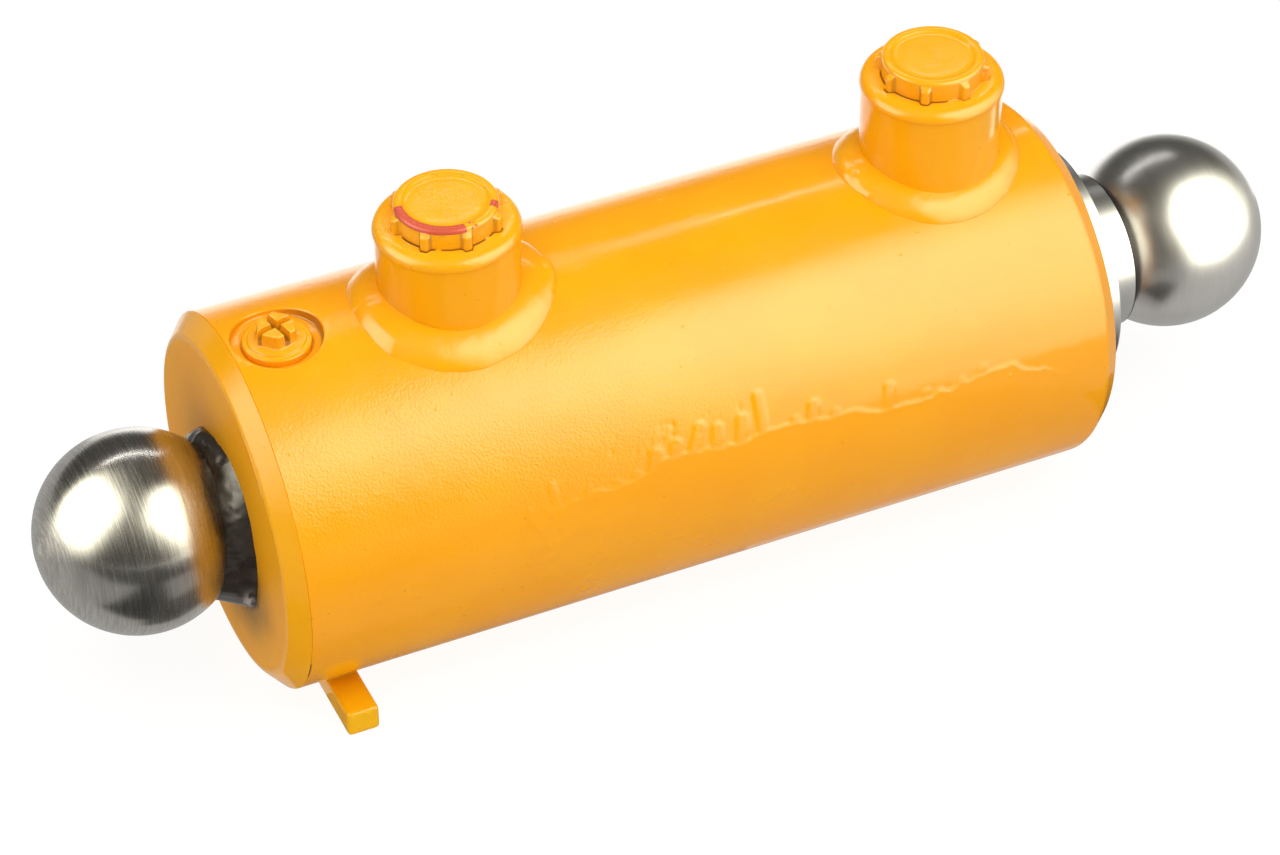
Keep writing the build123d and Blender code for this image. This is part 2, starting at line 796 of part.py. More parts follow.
# Rod ball: a sphere cut flat on the rod's end face, with a stud into the rod
with BuildPart() as rod_ball:
    with Locations((rod_ball_x, 0, 0)):
        Sphere(ball_radius)
    split(bisect_by=Plane.YZ.offset(rod_end), keep=Keep.TOP)
    with BuildSketch(Plane.YZ.offset(rod_end)):
        Circle(ball_stud_radius)
    extrude(amount=-ball_stud_length)
rod_ball.part.label = "rod_ball"
export_step(rod_ball.part, "parts/rod_ball.step")

# Rod collar with its guide band and nut
rod_guide_collar = guide_collar(
    rod_collar_start,
    rod_collar_end,
    rod_seat_radius,
    rod_collar_radius,
    rod_collar_groove_radius,
    rod_collar_hole_circle,
)
rod_guide_collar.part.label = "rod_guide_collar"
export_step(rod_guide_collar.part, "parts/rod_guide_collar.step")

rod_band_start = (rod_collar_start + rod_collar_end - band_width) / 2
rod_guide_band = plain_ring(
    rod_band_start,
    rod_band_start + band_width,
    rod_collar_groove_radius,
    stage_bore - running_clearance,
)
rod_guide_band.part.label = "rod_guide_band"
export_step(rod_guide_band.part, "parts/rod_guide_band.step")

with BuildPart() as rod_collar_nut:
    with BuildSketch(Plane.YZ.offset(rod_nut_start)):
        RegularPolygon(rod_nut_flats / 2, 6, major_radius=False)
        Circle(rod_seat_radius, mode=Mode.SUBTRACT)
    extrude(amount=rod_collar_start - rod_nut_start)
rod_collar_nut.part.label = "rod_collar_nut"
export_step(rod_collar_nut.part, "parts/rod_collar_nut.step")
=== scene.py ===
from math import cos, pi, radians, sin

import bmesh
import bpy
import numpy as np
from mathutils import Matrix, Vector


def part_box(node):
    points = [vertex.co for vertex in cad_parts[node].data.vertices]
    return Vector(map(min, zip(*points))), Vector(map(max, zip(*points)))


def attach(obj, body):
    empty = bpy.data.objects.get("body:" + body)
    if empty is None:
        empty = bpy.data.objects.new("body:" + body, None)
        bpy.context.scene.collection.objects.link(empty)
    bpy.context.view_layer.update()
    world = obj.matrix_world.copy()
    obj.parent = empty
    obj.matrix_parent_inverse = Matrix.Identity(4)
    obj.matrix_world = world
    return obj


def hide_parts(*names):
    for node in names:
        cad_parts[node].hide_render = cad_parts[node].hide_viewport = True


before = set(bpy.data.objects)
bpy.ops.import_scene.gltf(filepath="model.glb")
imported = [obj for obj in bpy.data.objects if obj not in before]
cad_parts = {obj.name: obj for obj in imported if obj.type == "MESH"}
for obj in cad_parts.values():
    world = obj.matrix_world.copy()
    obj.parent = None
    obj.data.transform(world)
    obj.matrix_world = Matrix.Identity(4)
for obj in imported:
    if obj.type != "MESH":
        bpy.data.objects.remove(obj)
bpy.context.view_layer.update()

# Shapes are worked out in millimetres and written to the meshes in metres.
MM = 0.001


def box_mm(name):
    """A CAD node's lowest and highest corners, in millimetres."""
    low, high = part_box(name)
    return np.array(low) / MM, np.array(high) / MM


# Main dimensions, read from the CAD nodes' boxes
tube_low, tube_high = box_mm("barrel_tube")
cap_low, cap_high = box_mm("base_cap")
BARREL_R = tube_high[1]
TUBE_START, TUBE_END = tube_low[0], tube_high[0]
BASE_FACE, CAP_INNER = cap_low[0], cap_high[0]
BALL_R = box_mm("base_ball")[1][1]
ROD_BALL_X = box_mm("rod_ball")[1][0] - BALL_R
ROD_START, ROD_END = (corner[0] for corner in box_mm("piston_rod"))
BLEED_LOW, BLEED_HIGH = box_mm("bleed_plug")
BLEED_X = (BLEED_LOW[0] + BLEED_HIGH[0]) / 2

# Dimensions that no node's box shows, the same as in the CAD model
BORE_R = 37.5
GLAND_SEAT_R, GLAND_SEAT_X = 40.0, 217.0
BASE_CHAMFER = 5.1
HEAD_CHAMFER_LENGTH, HEAD_CHAMFER_DEPTH = 4.2, 3.8
SPOT_R, SPOT_FLOOR = 11.0, 43.6
STUD_R, STUD_LENGTH = 9.0, 16.5
PORT_THREAD_R, PORT_PITCH, PORT_DEPTH = 9.3155, 1.814, 14.0
BLEED_THREAD_R, BLEED_PITCH = 5.7225, 1.337
OIL_WAY_R = 6.0

# The barrel's skin lies a little inside the CAD radius, so that the thick paint doesn't stand far outside it
SKIN_R = BARREL_R - 0.2

# ---------------------------------------------------------------- mesh helpers


def smooth(x):
    """0 below 0, 1 above 1, and a smooth step between."""
    x = np.clip(x, 0.0, 1.0)
    return x * x * (3 - 2 * x)


class Noise:
    """Repeatable value noise on a plane, from a small grid of random values."""

    def __init__(self, seed, size=64):
        self.size = size
        self.grid = np.random.default_rng(seed).uniform(-1, 1, (size, size))

    def at(self, u, v):
        u, v = np.broadcast_arrays(np.asarray(u, float), np.asarray(v, float))
        i, j = np.floor(u).astype(int), np.floor(v).astype(int)
        a, b = smooth(u - i), smooth(v - j)
        g, n = self.grid, self.size
        top = g[i % n, j % n] * (1 - a) + g[(i + 1) % n, j % n] * a
        low = g[i % n, (j + 1) % n] * (1 - a) + g[(i + 1) % n, (j + 1) % n] * a
        return top * (1 - b) + low * b

    def layers(self, u, v, count=3):
        total = 0.0
        for k in range(count):
            total = total + self.at(u * 2**k + 5.3 * k, v * 2**k + 9.1 * k) / 2**k
        return total


def skin(rows, loop=False):
    """Vertices and faces of a surface through rows of points. A row of one point is a pole."""
    rows = [np.atleast_2d(np.asarray(r, float)) for r in rows]
    starts = np.cumsum([0] + [len(r) for r in rows])
    faces = []
    pairs = [(k, k + 1) for k in range(len(rows) - 1)]
    if loop:
        pairs.append((len(rows) - 1, 0))
    for a, b in pairs:
        na, nb = len(rows[a]), len(rows[b])
        m = max(na, nb)
        j = np.arange(m)
        k = (j + 1) % m
        if na == nb:
            quads = np.stack([starts[a] + j, starts[a] + k, starts[b] + k, starts[b] + j], 1)
        elif na == 1:
            quads = np.stack([np.full(m, starts[a]), starts[b] + k, starts[b] + j], 1)
        else:
            quads = np.stack([starts[a] + j, starts[a] + k, np.full(m, starts[b])], 1)
        faces.extend(quads.tolist())
    return np.concatenate(rows), faces


def rounded(corners, steps=4, support=0.06):
    """A profile through (a, b, radius) corners. Where radius isn't 0, the corner is rounded off."""
    count = len(corners)
    out = []
    for k, (a, b, radius) in enumerate(corners):
        here = np.array([a, b], float)
        if not radius or k in (0, count - 1):
            out.append(here)
            continue
        before = np.array(corners[k - 1][:2], float) - here
        after = np.array(corners[k + 1][:2], float) - here
        lb, la = np.linalg.norm(before), np.linalg.norm(after)
        before, after = before / lb, after / la
        reach = min(radius, lb * 0.45, la * 0.45)
        start, end = here + before * reach, here + after * reach
        out.append(start + before * min(support, lb * 0.04))
        for t in np.linspace(0, 1, steps + 1):
            out.append(start * (1 - t) ** 2 + here * 2 * t * (1 - t) + end * t**2)
        out.append(end + after * min(support, la * 0.04))
    return np.array(out)


def lathe_x(profile, segments):
    """Rows of points of a profile of (x, radius) turned about X."""
    angle = np.linspace(0, 2 * pi, segments, endpoint=False)
    rows = []
    for x, r in profile:
        if r < 1e-6:
            rows.append([[x, 0, 0]])
        else:
            rows.append(np.stack([np.full(segments, x), r * np.cos(angle), r * np.sin(angle)], 1))
    return rows


def hoop(x, r, angle):
    """Points round X at radius r. angle is in degrees above the horizontal, seen from the front (-Y)."""
    a = np.radians(angle)
    return np.stack(np.broadcast_arrays(x, -r * np.cos(a), r * np.sin(a)), -1)


def ring(centre_x, r, z, turn):
    """Points at radius r and height z round the vertical line at centre_x."""
    return np.stack(np.broadcast_arrays(centre_x + r * np.cos(turn), r * np.sin(turn), z), 1)


def thread_wave(z, pitch, turn):
    """How far out a thread's flank stands at height z, from -0.5 in the groove to 0.5 on the crest."""
    return np.abs(((z / pitch + turn / (2 * pi)) % 1.0) - 0.5) * 2 - 0.5


def arc_share(turn_deg, start, end, blur):
    """1 within the arc from start to end degrees, 0 outside it, with an edge blur degrees wide."""
    away = (turn_deg - start) % 360
    return smooth(away / blur) * smooth(((end - start) % 360 - away) / blur)


def piece(name, verts, faces, materials, body, nodes=(), sharp=38, marks=None):
    """A piece of the object from points in millimetres. marks holds named values per vertex."""
    mesh = bpy.data.meshes.new(name)
    mesh.from_pydata((np.asarray(verts, float) * MM).tolist(), [], faces)
    for key, values in (marks or {}).items():
        layer = mesh.attributes.new(key, "FLOAT", "POINT")
        layer.data.foreach_set("value", np.asarray(values, np.float32))
    for material in materials if isinstance(materials, (list, tuple)) else [materials]:
        mesh.materials.append(material)
    tidy = bmesh.new()
    tidy.from_mesh(mesh)
    bmesh.ops.recalc_face_normals(tidy, faces=tidy.faces)
    tidy.to_mesh(mesh)
    tidy.free()
    mesh.shade_smooth()
    mesh.set_sharp_from_angle(angle=radians(sharp))
    obj = bpy.data.objects.new(name, mesh)
    bpy.context.scene.collection.objects.link(obj)
    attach(obj, body)
    if nodes:
        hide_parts(*nodes)
    return obj


def turned_piece(profile, segments, name, materials, body, node, loop=False, sharp=38):
    """A piece in place of one CAD node, from a profile of (x, radius) turned about X."""
    verts, faces = skin(lathe_x(profile, segments), loop)
    return piece(name, verts, faces, materials, body, [node], sharp=sharp)


# ---------------------------------------------------------------- material helpers


class Nodes:
    """Short calls for building a tree of shader nodes."""

    def __init__(self, tree):
        self.tree = tree

    def node(self, kind, inputs=None, **props):
        made = self.tree.nodes.new("ShaderNode" + kind)
        for key, value in props.items():
            setattr(made, key, value)
        for key, value in (inputs or {}).items():
            self.give(made.inputs[key], value)
        return made

    def give(self, socket, value):
        if isinstance(value, bpy.types.NodeSocket):
            self.tree.links.new(value, socket)
        else:
            socket.default_value = value

    def object_at(self):
        return self.node("TexCoord").outputs["Object"]

    def scaled(self, vector, scale):
        made = self.node("Mapping", {"Vector": vector})
        made.inputs["Scale"].default_value = scale
        return made.outputs["Vector"]

    def noise(self, vector, scale, detail=2.0, rough=0.5):
        made = self.node("TexNoise", {"Vector": vector, "Scale": scale, "Detail": detail, "Roughness": rough})
        return made.outputs["Fac"]

    def math(self, operation, a, b=0.0, c=0.0):
        made = self.node("Math", operation=operation)
        for k, value in enumerate((a, b, c)):
            self.give(made.inputs[k], value)
        return made.outputs[0]

    def plus(self, a, b):
        return self.math("ADD", a, b)

    def minus(self, a, b):
        return self.math("SUBTRACT", a, b)

    def times(self, a, b):
        return self.math("MULTIPLY", a, b)

    def ramp(self, value, low, high, to_low=0.0, to_high=1.0):
        span = {"Value": value, "From Min": low, "From Max": high, "To Min": to_low, "To Max": to_high}
        return self.node("MapRange", span, interpolation_type="SMOOTHSTEP").outputs["Result"]

    def mix(self, factor, a, b):
        made = self.node("Mix", data_type="RGBA")
        self.give(made.inputs["Factor"], factor)
        self.give(made.inputs[6], a)
        self.give(made.inputs[7], b)
        return made.outputs[2]

    def mark(self, name):
        return self.node("Attribute", attribute_name=name).outputs["Fac"]

    def xyz(self, vector):
        return self.node("SeparateXYZ", {"Vector": vector}).outputs

    def from_axis(self, p):
        """Distance from X, kept just above 0 so that it can be divided by."""
        squares = self.plus(self.math("POWER", p[1], 2), self.math("POWER", p[2], 2))
        return self.math("SQRT", self.plus(squares, 1e-9))

    def bump(self, height, depth, before=None):
        made = self.node("Bump", {"Height": height, "Distance": depth, "Strength": 1.0})
        if before is not None:
            self.tree.links.new(before, made.inputs["Normal"])
        return made.outputs["Normal"]


class Graph(Nodes):
    """A new material and its nodes."""

    def __init__(self, name):
        self.material = bpy.data.materials.new(name)
        self.material.use_nodes = True
        super().__init__(self.material.node_tree)
        self.shader = self.tree.nodes["Principled BSDF"]

    def set(self, **values):
        for key, value in values.items():
            self.give(self.shader.inputs[key.replace("_", " ")], value)


YELLOW = (0.94, 0.380, 0.0045, 1)
YELLOW_DEEP = (0.92, 0.352, 0.003, 1)
YELLOW_PALE = (0.95, 0.405, 0.010, 1)
# The dark of cracks, and of painted shade in creases and recesses
DARK_CRACK_AND_SHADE = (0.10, 0.06, 0.02, 1)
RED = (0.62, 0.085, 0.035, 1)
FLECK = (0.62, 0.27, 0.012, 1)
GRIT = (0.52, 0.24, 0.03, 1)
OVERSPRAY = (0.95, 0.62, 0.20, 1)
SCORCH = (0.22, 0.12, 0.02, 1)
SOOT = (0.035, 0.028, 0.02, 1)


def sooty(g, at, colour):
    """The paint's colour on the base face: browned and black beside the weld, and darker towards the bottom.
    """
    p = g.xyz(at)
    wander = g.times(g.minus(g.noise(at, 120, 3), 0.5), 0.006)
    out = g.plus(g.from_axis(p), wander)
    face_x = BASE_FACE * MM
    on_face = g.ramp(p[0], face_x + 0.0012, face_x + 0.0006)
    low = g.ramp(p[2], 0.004, -0.022)
    heat = g.times(g.ramp(out, 0.0400, 0.0235), on_face)
    colour = g.mix(g.times(heat, g.math("MULTIPLY_ADD", low, 0.72, 0.08)), colour, SCORCH)
    black = g.times(g.ramp(out, 0.0262, 0.0238), on_face)
    black = g.times(black, g.math("MULTIPLY_ADD", low, 0.95, 0.05))
    return g.mix(g.times(black, 0.75), colour, SOOT)


def paint(name, peel=1.0, gloss=0.11, level=0.5, tone=1.0, peel_mark=False, crack_and_shade=False, bare=False,
          soot=False, dust=0.0):
    """Thick gloss enamel with orange peel and specks, and where asked dark cracks with painted shade in
    creases and recesses, bare plastic, soot or dust.
    """
    g = Graph(name)
    at = g.object_at()
    broad = g.noise(at, 38, 3)
    deep, middle, pale = [(c[0], c[1] * tone, c[2], 1) for c in (YELLOW_DEEP, YELLOW, YELLOW_PALE)]
    colour = g.mix(g.ramp(broad, 0.30, 0.72), deep, middle)
    colour = g.mix(g.ramp(g.noise(at, 150, 3), 0.55, 0.85, 0, 0.35), colour, pale)
    fleck = g.ramp(g.noise(at, 620, 1.0, 0.4), 0.775, 0.80, 0, 0.55)
    colour = g.mix(fleck, colour, FLECK)
    if dust:
        grit = g.ramp(g.noise(at, 1900, 2.0, 0.6), 0.60, 0.68, 0, dust)
        colour = g.mix(grit, colour, GRIT)
        spray = g.ramp(g.noise(at, 2600, 1.0, 0.5), 0.46, 0.66, 0, dust * 1.6)
        colour = g.mix(g.times(spray, g.mark("dust")), colour, OVERSPRAY)
    rough = g.ramp(g.noise(at, 260, 3), 0.3, 0.7, gloss, gloss + 0.05)
    strength = g.mark("peel") if peel_mark else peel
    fine = g.times(g.noise(at, 1500, 1.6, 0.5), strength)
    normal = g.bump(fine, 0.000062)
    normal = g.bump(g.noise(at, 170, 2.0), 0.00007, normal)
    nibs = g.node("TexVoronoi", {"Vector": at, "Scale": 150.0})
    normal = g.bump(g.ramp(nibs.outputs["Distance"], 0.0, 0.09, 1.0, 0.0), 0.00009, normal)
    if soot:
        colour = sooty(g, at, colour)
    # Dark cracks, and painted shade in creases and recesses, where the mark for them is set
    if crack_and_shade:
        colour = g.mix(g.mark("crack_and_shade"), colour, DARK_CRACK_AND_SHADE)
    if bare:
        ragged = g.times(g.minus(g.noise(at, 900, 3, 0.6), 0.5), 0.9)
        mask = g.ramp(g.plus(g.mark("bare"), ragged), 0.47, 0.53)
        colour = g.mix(mask, colour, RED)
        rough = g.math("MULTIPLY_ADD", mask, 0.14, rough)
        normal = g.bump(mask, -0.00016, normal)
    g.set(Base_Color=colour, Roughness=rough, Normal=normal)
    g.shader.inputs["Specular IOR Level"].default_value = level
    return g.material


def turned_steel(name, colour, low, high, ring_scale=1500.0, depth=0.0, contrast=1.0, anisotropic=0.0,
                 heat=False, seam=None):
    """Bright steel with fine turning marks round X. A seam is a dark line round the piece at that x."""
    g = Graph(name)
    at = g.object_at()
    p = g.xyz(at)
    out = g.from_axis(p)
    y_round, z_round = (g.times(g.math("DIVIDE", p[k], out), 2.6) for k in (1, 2))
    along = g.times(p[0], ring_scale)
    around = g.node("CombineXYZ", {"X": along, "Y": y_round, "Z": z_round}).outputs[0]
    marks = g.noise(around, 1.0, 3, 0.6)
    broad = g.noise(at, 90, 3)
    tone = g.mix(g.ramp(marks, 0.3, 0.72), [c * contrast for c in colour[:3]] + [1], colour)
    dull = [colour[0] * 0.8, colour[1] * 0.76, colour[2] * 0.70, 1]
    tone = g.mix(g.ramp(broad, 0.45, 0.8, 0, 0.25), tone, dull)
    if heat:
        tone = g.mix(g.ramp(p[0], 0.0100, 0.0195, 0, 0.8), tone, (0.24, 0.17, 0.09, 1))
    if seam is not None:
        beside = g.math("ABSOLUTE", g.minus(p[0], seam * MM))
        tone = g.mix(g.ramp(beside, 0.00016, 0.00036, 1, 0), tone, (0.020, 0.018, 0.015, 1))
    rough = g.ramp(marks, 0.3, 0.7, low, high)
    g.set(Base_Color=tone, Roughness=rough, Metallic=1.0)
    if depth:
        g.set(Normal=g.bump(marks, depth))
    if anisotropic:
        g.shader.inputs["Anisotropic"].default_value = anisotropic
        g.shader.inputs["Anisotropic Rotation"].default_value = 0.25
        tangent = g.node("Tangent", direction_type="RADIAL", axis="X")
        g.tree.links.new(tangent.outputs[0], g.shader.inputs["Tangent"])
    return g.material


def weld_metal(name):
    """Sooty weld metal: dark scale with brown patches, a satin sheen and scraped places."""
    g = Graph(name)
    at = g.object_at()
    patch = g.noise(at, 210, 4, 0.6)
    colour = g.mix(g.ramp(patch, 0.35, 0.7), (0.028, 0.022, 0.015, 1), (0.050, 0.040, 0.030, 1))
    scratched = g.ramp(g.noise(g.scaled(at, (1, 1, 0.35)), 700, 3), 0.36, 0.56)
    colour = g.mix(g.times(g.mark("scar"), scratched), colour, (0.36, 0.33, 0.29, 1))
    rough = g.ramp(patch, 0.3, 0.7, 0.17, 0.26)
    normal = g.bump(g.noise(at, 260, 1.5, 0.5), 0.00012)
    g.set(Base_Color=colour, Roughness=rough, Normal=normal, Metallic=0.25)
    g.shader.inputs["Specular IOR Level"].default_value = 0.8
    return g.material


def plain(name, colour, rough, metallic, scale, vary, depth):
    """A machined, moulded or rubber surface with mottled colour and a fine grain."""
    g = Graph(name)
    at = g.object_at()
    grain = g.noise(at, scale, 4, 0.6)
    dark = [c * (1 - vary) for c in colour[:3]] + [1]
    g.set(Base_Color=g.mix(g.ramp(grain, 0.3, 0.7), dark, colour),
          Roughness=g.ramp(grain, 0.3, 0.7, rough * 0.85, min(1, rough * 1.2)),
          Normal=g.bump(g.noise(at, scale * 3, 3), depth), Metallic=metallic)
    return g.material


def woven(name):
    """Phenolic guide ring: a brown resin over a fine woven cloth."""
    g = Graph(name)
    at = g.object_at()
    p = g.xyz(at)
    turn = g.times(g.math("ARCTAN2", p[2], p[1]), 0.036)
    warp = g.math("SINE", g.times(p[0], 9000.0))
    weft = g.math("SINE", g.times(turn, 9000.0))
    cloth = g.math("MULTIPLY_ADD", g.times(warp, weft), 0.5, 0.5)
    tone = g.mix(cloth, (0.20, 0.085, 0.03, 1), (0.34, 0.17, 0.07, 1))
    tone = g.mix(g.ramp(g.noise(at, 120, 3), 0.4, 0.7, 0, 0.5), tone, (0.16, 0.07, 0.025, 1))
    g.set(Base_Color=tone, Roughness=g.ramp(cloth, 0, 1, 0.5, 0.36), Normal=g.bump(cloth, 0.00004))
    return g.material


PAINT_BARREL = paint("yellow_paint_barrel", peel_mark=True, crack_and_shade=True)
PAINT = paint("yellow_paint", peel=0.55, level=0.38, tone=1.10)
PAINT_TAB = paint("yellow_paint_tab", peel=0.7, tone=1.28)
PAINT_FACE = paint("yellow_paint_face", peel=0.5, gloss=0.42, level=0.12, tone=1.06, soot=True)
PAINT_PLUG = paint("yellow_paint_plug", peel=0.5, tone=1.08, crack_and_shade=True, bare=True, dust=0.5)
PAINT_PLUG_CLEAN = paint("yellow_paint_plug_clean", peel=0.35, crack_and_shade=True, tone=1.06, dust=0.12)
PAINT_WELD = paint("yellow_paint_weld", peel=0.45, tone=1.06, crack_and_shade=True)
BALL_STEEL = turned_steel("turned_steel", (0.72, 0.69, 0.63, 1), 0.225, 0.280, ring_scale=3400.0,
                          depth=0.0000004, contrast=0.72, anisotropic=0.72, heat=True)
POLISHED = turned_steel("polished_steel", (0.70, 0.68, 0.64, 1), 0.285, 0.30, contrast=0.95)
CHROME_TONE, CHROME_ROUGH = (0.56, 0.55, 0.53, 1), 0.33
CHROME = turned_steel("chrome", CHROME_TONE, CHROME_ROUGH, CHROME_ROUGH)
ROD_CHROME = turned_steel("rod_chrome", CHROME_TONE, CHROME_ROUGH, CHROME_ROUGH, seam=ROD_END - 0.2)
WELD = weld_metal("weld_steel")
GLAND = turned_steel("gland_steel", (0.50, 0.49, 0.47, 1), 0.24, 0.42, ring_scale=2400.0, depth=0.00001,
                     contrast=0.82)
IRON = plain("collar_iron", (0.22, 0.21, 0.20, 1), 0.45, 1.0, 260, 0.35, 0.00006)
SPRING = plain("spring_steel", (0.16, 0.15, 0.145, 1), 0.33, 1.0, 500, 0.3, 0.00002)
RUBBER = plain("seal_rubber", (0.022, 0.022, 0.024, 1), 0.5, 0.0, 700, 0.3, 0.00003)
URETHANE = plain("seal_polyurethane", (0.05, 0.10, 0.30, 1), 0.34, 0.0, 400, 0.25, 0.00002)
PHENOLIC = woven("guide_phenolic")
PLASTIC = plain("plug_plastic", (0.66, 0.06, 0.035, 1), 0.38, 0.0, 500, 0.18, 0.00003)

# The CAD nodes that show as they are, with a material
NODE_MATERIALS = {
    "head_gland": GLAND, "stage_gland": GLAND, "rod_collar_nut": GLAND,
    "head_gland_o_ring": RUBBER, "stage_gland_o_ring": RUBBER,
    "stage_seal": URETHANE, "rod_seal": URETHANE, "stage_wiper": URETHANE, "rod_wiper": URETHANE,
    "stage_guide_ring": PHENOLIC, "rod_guide_ring": PHENOLIC,
    "stage_guide_band": PHENOLIC, "rod_guide_band": PHENOLIC,
    "stage_guide_collar": IRON, "rod_guide_collar": IRON,
    "stage_collar_retaining_ring": SPRING, "rod_stop_ring": SPRING,
    "stop_tab_weld": PAINT_TAB,
}
for node_name, node_material in NODE_MATERIALS.items():
    node_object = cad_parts[node_name]
    if not node_object.material_slots:
        node_object.data.materials.append(node_material)
    for node_slot in node_object.material_slots:
        node_slot.material = node_material

# ---------------------------------------------------------------- barrel tube

DEG = radians(1) * BARREL_R  # one degree of the barrel's surface in millimetres

# The thick coat's upper edge along the barrel: (x, degrees above the horizontal)
COAT_EDGE = (
    (70, 8), (84, 13), (100, 15), (112, 16), (119, 18.6), (130, 18.2), (136, 17), (142, 18.5), (149, 18.9),
    (155, 17), (161, 16.5), (167, 16), (175, 14), (186, 14), (195, 14), (204, 17), (209, 16.6), (216, 13),
    (225, 8.5), (236, 3),
)
# Paint that has run up from that edge: (x, top in degrees, half-width, lean in mm, depth in mm)
RUNS = (
    (82.8, 16.0, 1.0, 0.0, 0.16), (89.3, 21.8, 1.1, -0.6, 0.20), (98.3, 17.4, 1.0, 0.0, 0.12),
    (105.6, 16.6, 1.3, 0.0, 0.14), (110.6, 17.4, 1.6, 0.0, 0.16), (116.0, 22.4, 2.0, 0.8, 0.30),
    (121.4, 23.4, 1.8, 0.8, 0.32), (127.3, 26.4, 1.7, 2.2, 0.36), (132.4, 24.6, 1.7, 0.6, 0.34),
    (139.0, 25.2, 1.8, 0.8, 0.36), (144.2, 30.4, 1.5, 0.0, 0.42), (152.6, 19.9, 1.4, 0.4, 0.24),
    (157.7, 23.0, 1.8, 0.7, 0.34), (163.2, 18.5, 1.5, 0.5, 0.22), (178.0, 21.6, 1.7, 0.7, 0.34),
    (187.8, 15.9, 1.3, 0.4, 0.18), (197.2, 16.6, 1.4, 0.6, 0.20), (203.2, 18.4, 1.7, 0.8, 0.22),
)
# Fields of small nibs (tall) and pits (below 0) in the paint:
# (lowest x, highest x, lowest degrees, highest degrees, how many, size in mm, height in mm)
SCAR_FIELDS = (
    (84, 92, -16, 12, 26, 0.9, 0.16), (96, 150, -26, -2, 46, 0.62, 0.22), (140, 156, -20, -3, 16, 0.7, 0.22),
    (104, 142, 22, 30, 22, 0.6, -0.13), (38, 48, 0, 6, 10, 1.0, 0.14), (97, 100, -30, -16, 10, 0.7, 0.24),
    (30, 76, 24, 33, 24, 0.6, 0.10), (83, 102, -4, 13, 26, 1.1, 0.10),
)
COAT_START, COAT_END = 70, 237
COAT_DEPTH = 0.20
LIP_HEIGHT = 0.085
EDGE_WANDER = 0.80
edge_noise = Noise(3)


def drawn_edge(x):
    """The coat's edge at x as COAT_EDGE gives it, in millimetres round the barrel above the horizontal."""
    return np.interp(x, [p[0] for p in COAT_EDGE], [p[1] for p in COAT_EDGE]) * DEG


def coat_edge(x):
    """The coat's edge at x with its small waves."""
    return drawn_edge(x) + EDGE_WANDER * edge_noise.layers(x * 0.34, 0.0, 3)


def distance_to_path(px, ps, path):
    """Each point's distance to a polyline."""
    best = np.full(px.shape, 1e9)
    for (x0, s0), (x1, s1) in zip(path[:-1], path[1:]):
        dx, ds = x1 - x0, s1 - s0
        t = np.clip(((px - x0) * dx + (ps - s0) * ds) / (dx * dx + ds * ds), 0, 1)
        best = np.minimum(best, np.hypot(px - x0 - t * dx, ps - s0 - t * ds))
    return best


def make_scars():
    """Each nib or pit as (x, distance round the barrel, size, stretch, height)."""
    rng = np.random.default_rng(7)
    scars = []
    for x_low, x_high, a_low, a_high, count, size, tall in SCAR_FIELDS:
        for _ in range(count):
            x, s = rng.uniform(x_low, x_high), rng.uniform(a_low, a_high) * DEG
            width, stretch = size * rng.uniform(0.6, 1.3), rng.uniform(0.8, 2.2)
            scars.append((x, s, width, stretch, tall * rng.uniform(0.5, 1.2)))
    return scars


def barrel_relief(x, angle):
    """The barrel paint's thickness in millimetres and its share of orange peel, at x and degrees up."""
    s = angle * DEG
    edge_x = np.arange(COAT_START, COAT_END, 0.8)
    near = distance_to_path(x, s, np.stack([edge_x, coat_edge(edge_x)], 1))
    side = np.where(s < coat_edge(x), near, -near)
    along = smooth((x - 74) / 40) * smooth((236 - x) / 26)
    coat = COAT_DEPTH * smooth((side + 0.30) / 0.9) * along
    broken = smooth(0.75 + 0.6 * edge_noise.layers(x * 0.11, s * 0.05, 2))
    lip = LIP_HEIGHT * np.exp(-((side - 0.7) / 0.7) ** 2) * along * broken
    height = (coat + lip) * smooth((s + 26 * DEG) / (20 * DEG))
    for run_x, top, half, lean, tall in RUNS:
        base_s = drawn_edge(run_x) - 1.6
        top_s = top * DEG - half * 0.8
        t = np.clip((s - base_s) / max(top_s - base_s, 0.5), 0, 1)
        middle = run_x - lean + lean * 1.4 * t
        off = np.hypot(x - middle, s - (base_s + t * (top_s - base_s)))
        bump = 0.78 * tall * (0.70 + 0.30 * t) * smooth((1.22 - off / half) / 0.62)
        tail = smooth((s - base_s + 2.0) / 2.5)
        height = np.maximum(height, bump * tail + height * 0.35)
    for scar_x, scar_s, size, stretch, tall in make_scars():
        apart = ((x - scar_x) / size) ** 2 + ((s - scar_s) / (size * stretch)) ** 2
        height = height + tall * np.exp(-1.6 * apart)
    height = height + 0.018 * Noise(11).layers(x * 0.045, s * 0.06, 3)
    rough_patch = smooth((x - 80) / 6) * smooth((104 - x) / 8) * smooth((s + 12) / 6) * smooth((14 - s) / 5)
    height = height + 0.10 * rough_patch * Noise(5).layers(x * 0.55, s * 0.16, 2)
    above = 1 - smooth((side + 0.5) / 1.5) * along
    strong = 0.32 + 1.30 * smooth((160 - x) / 55) * above
    return height, strong * (0.8 + 0.35 * Noise(8).layers(x * 0.07, s * 0.07, 2))


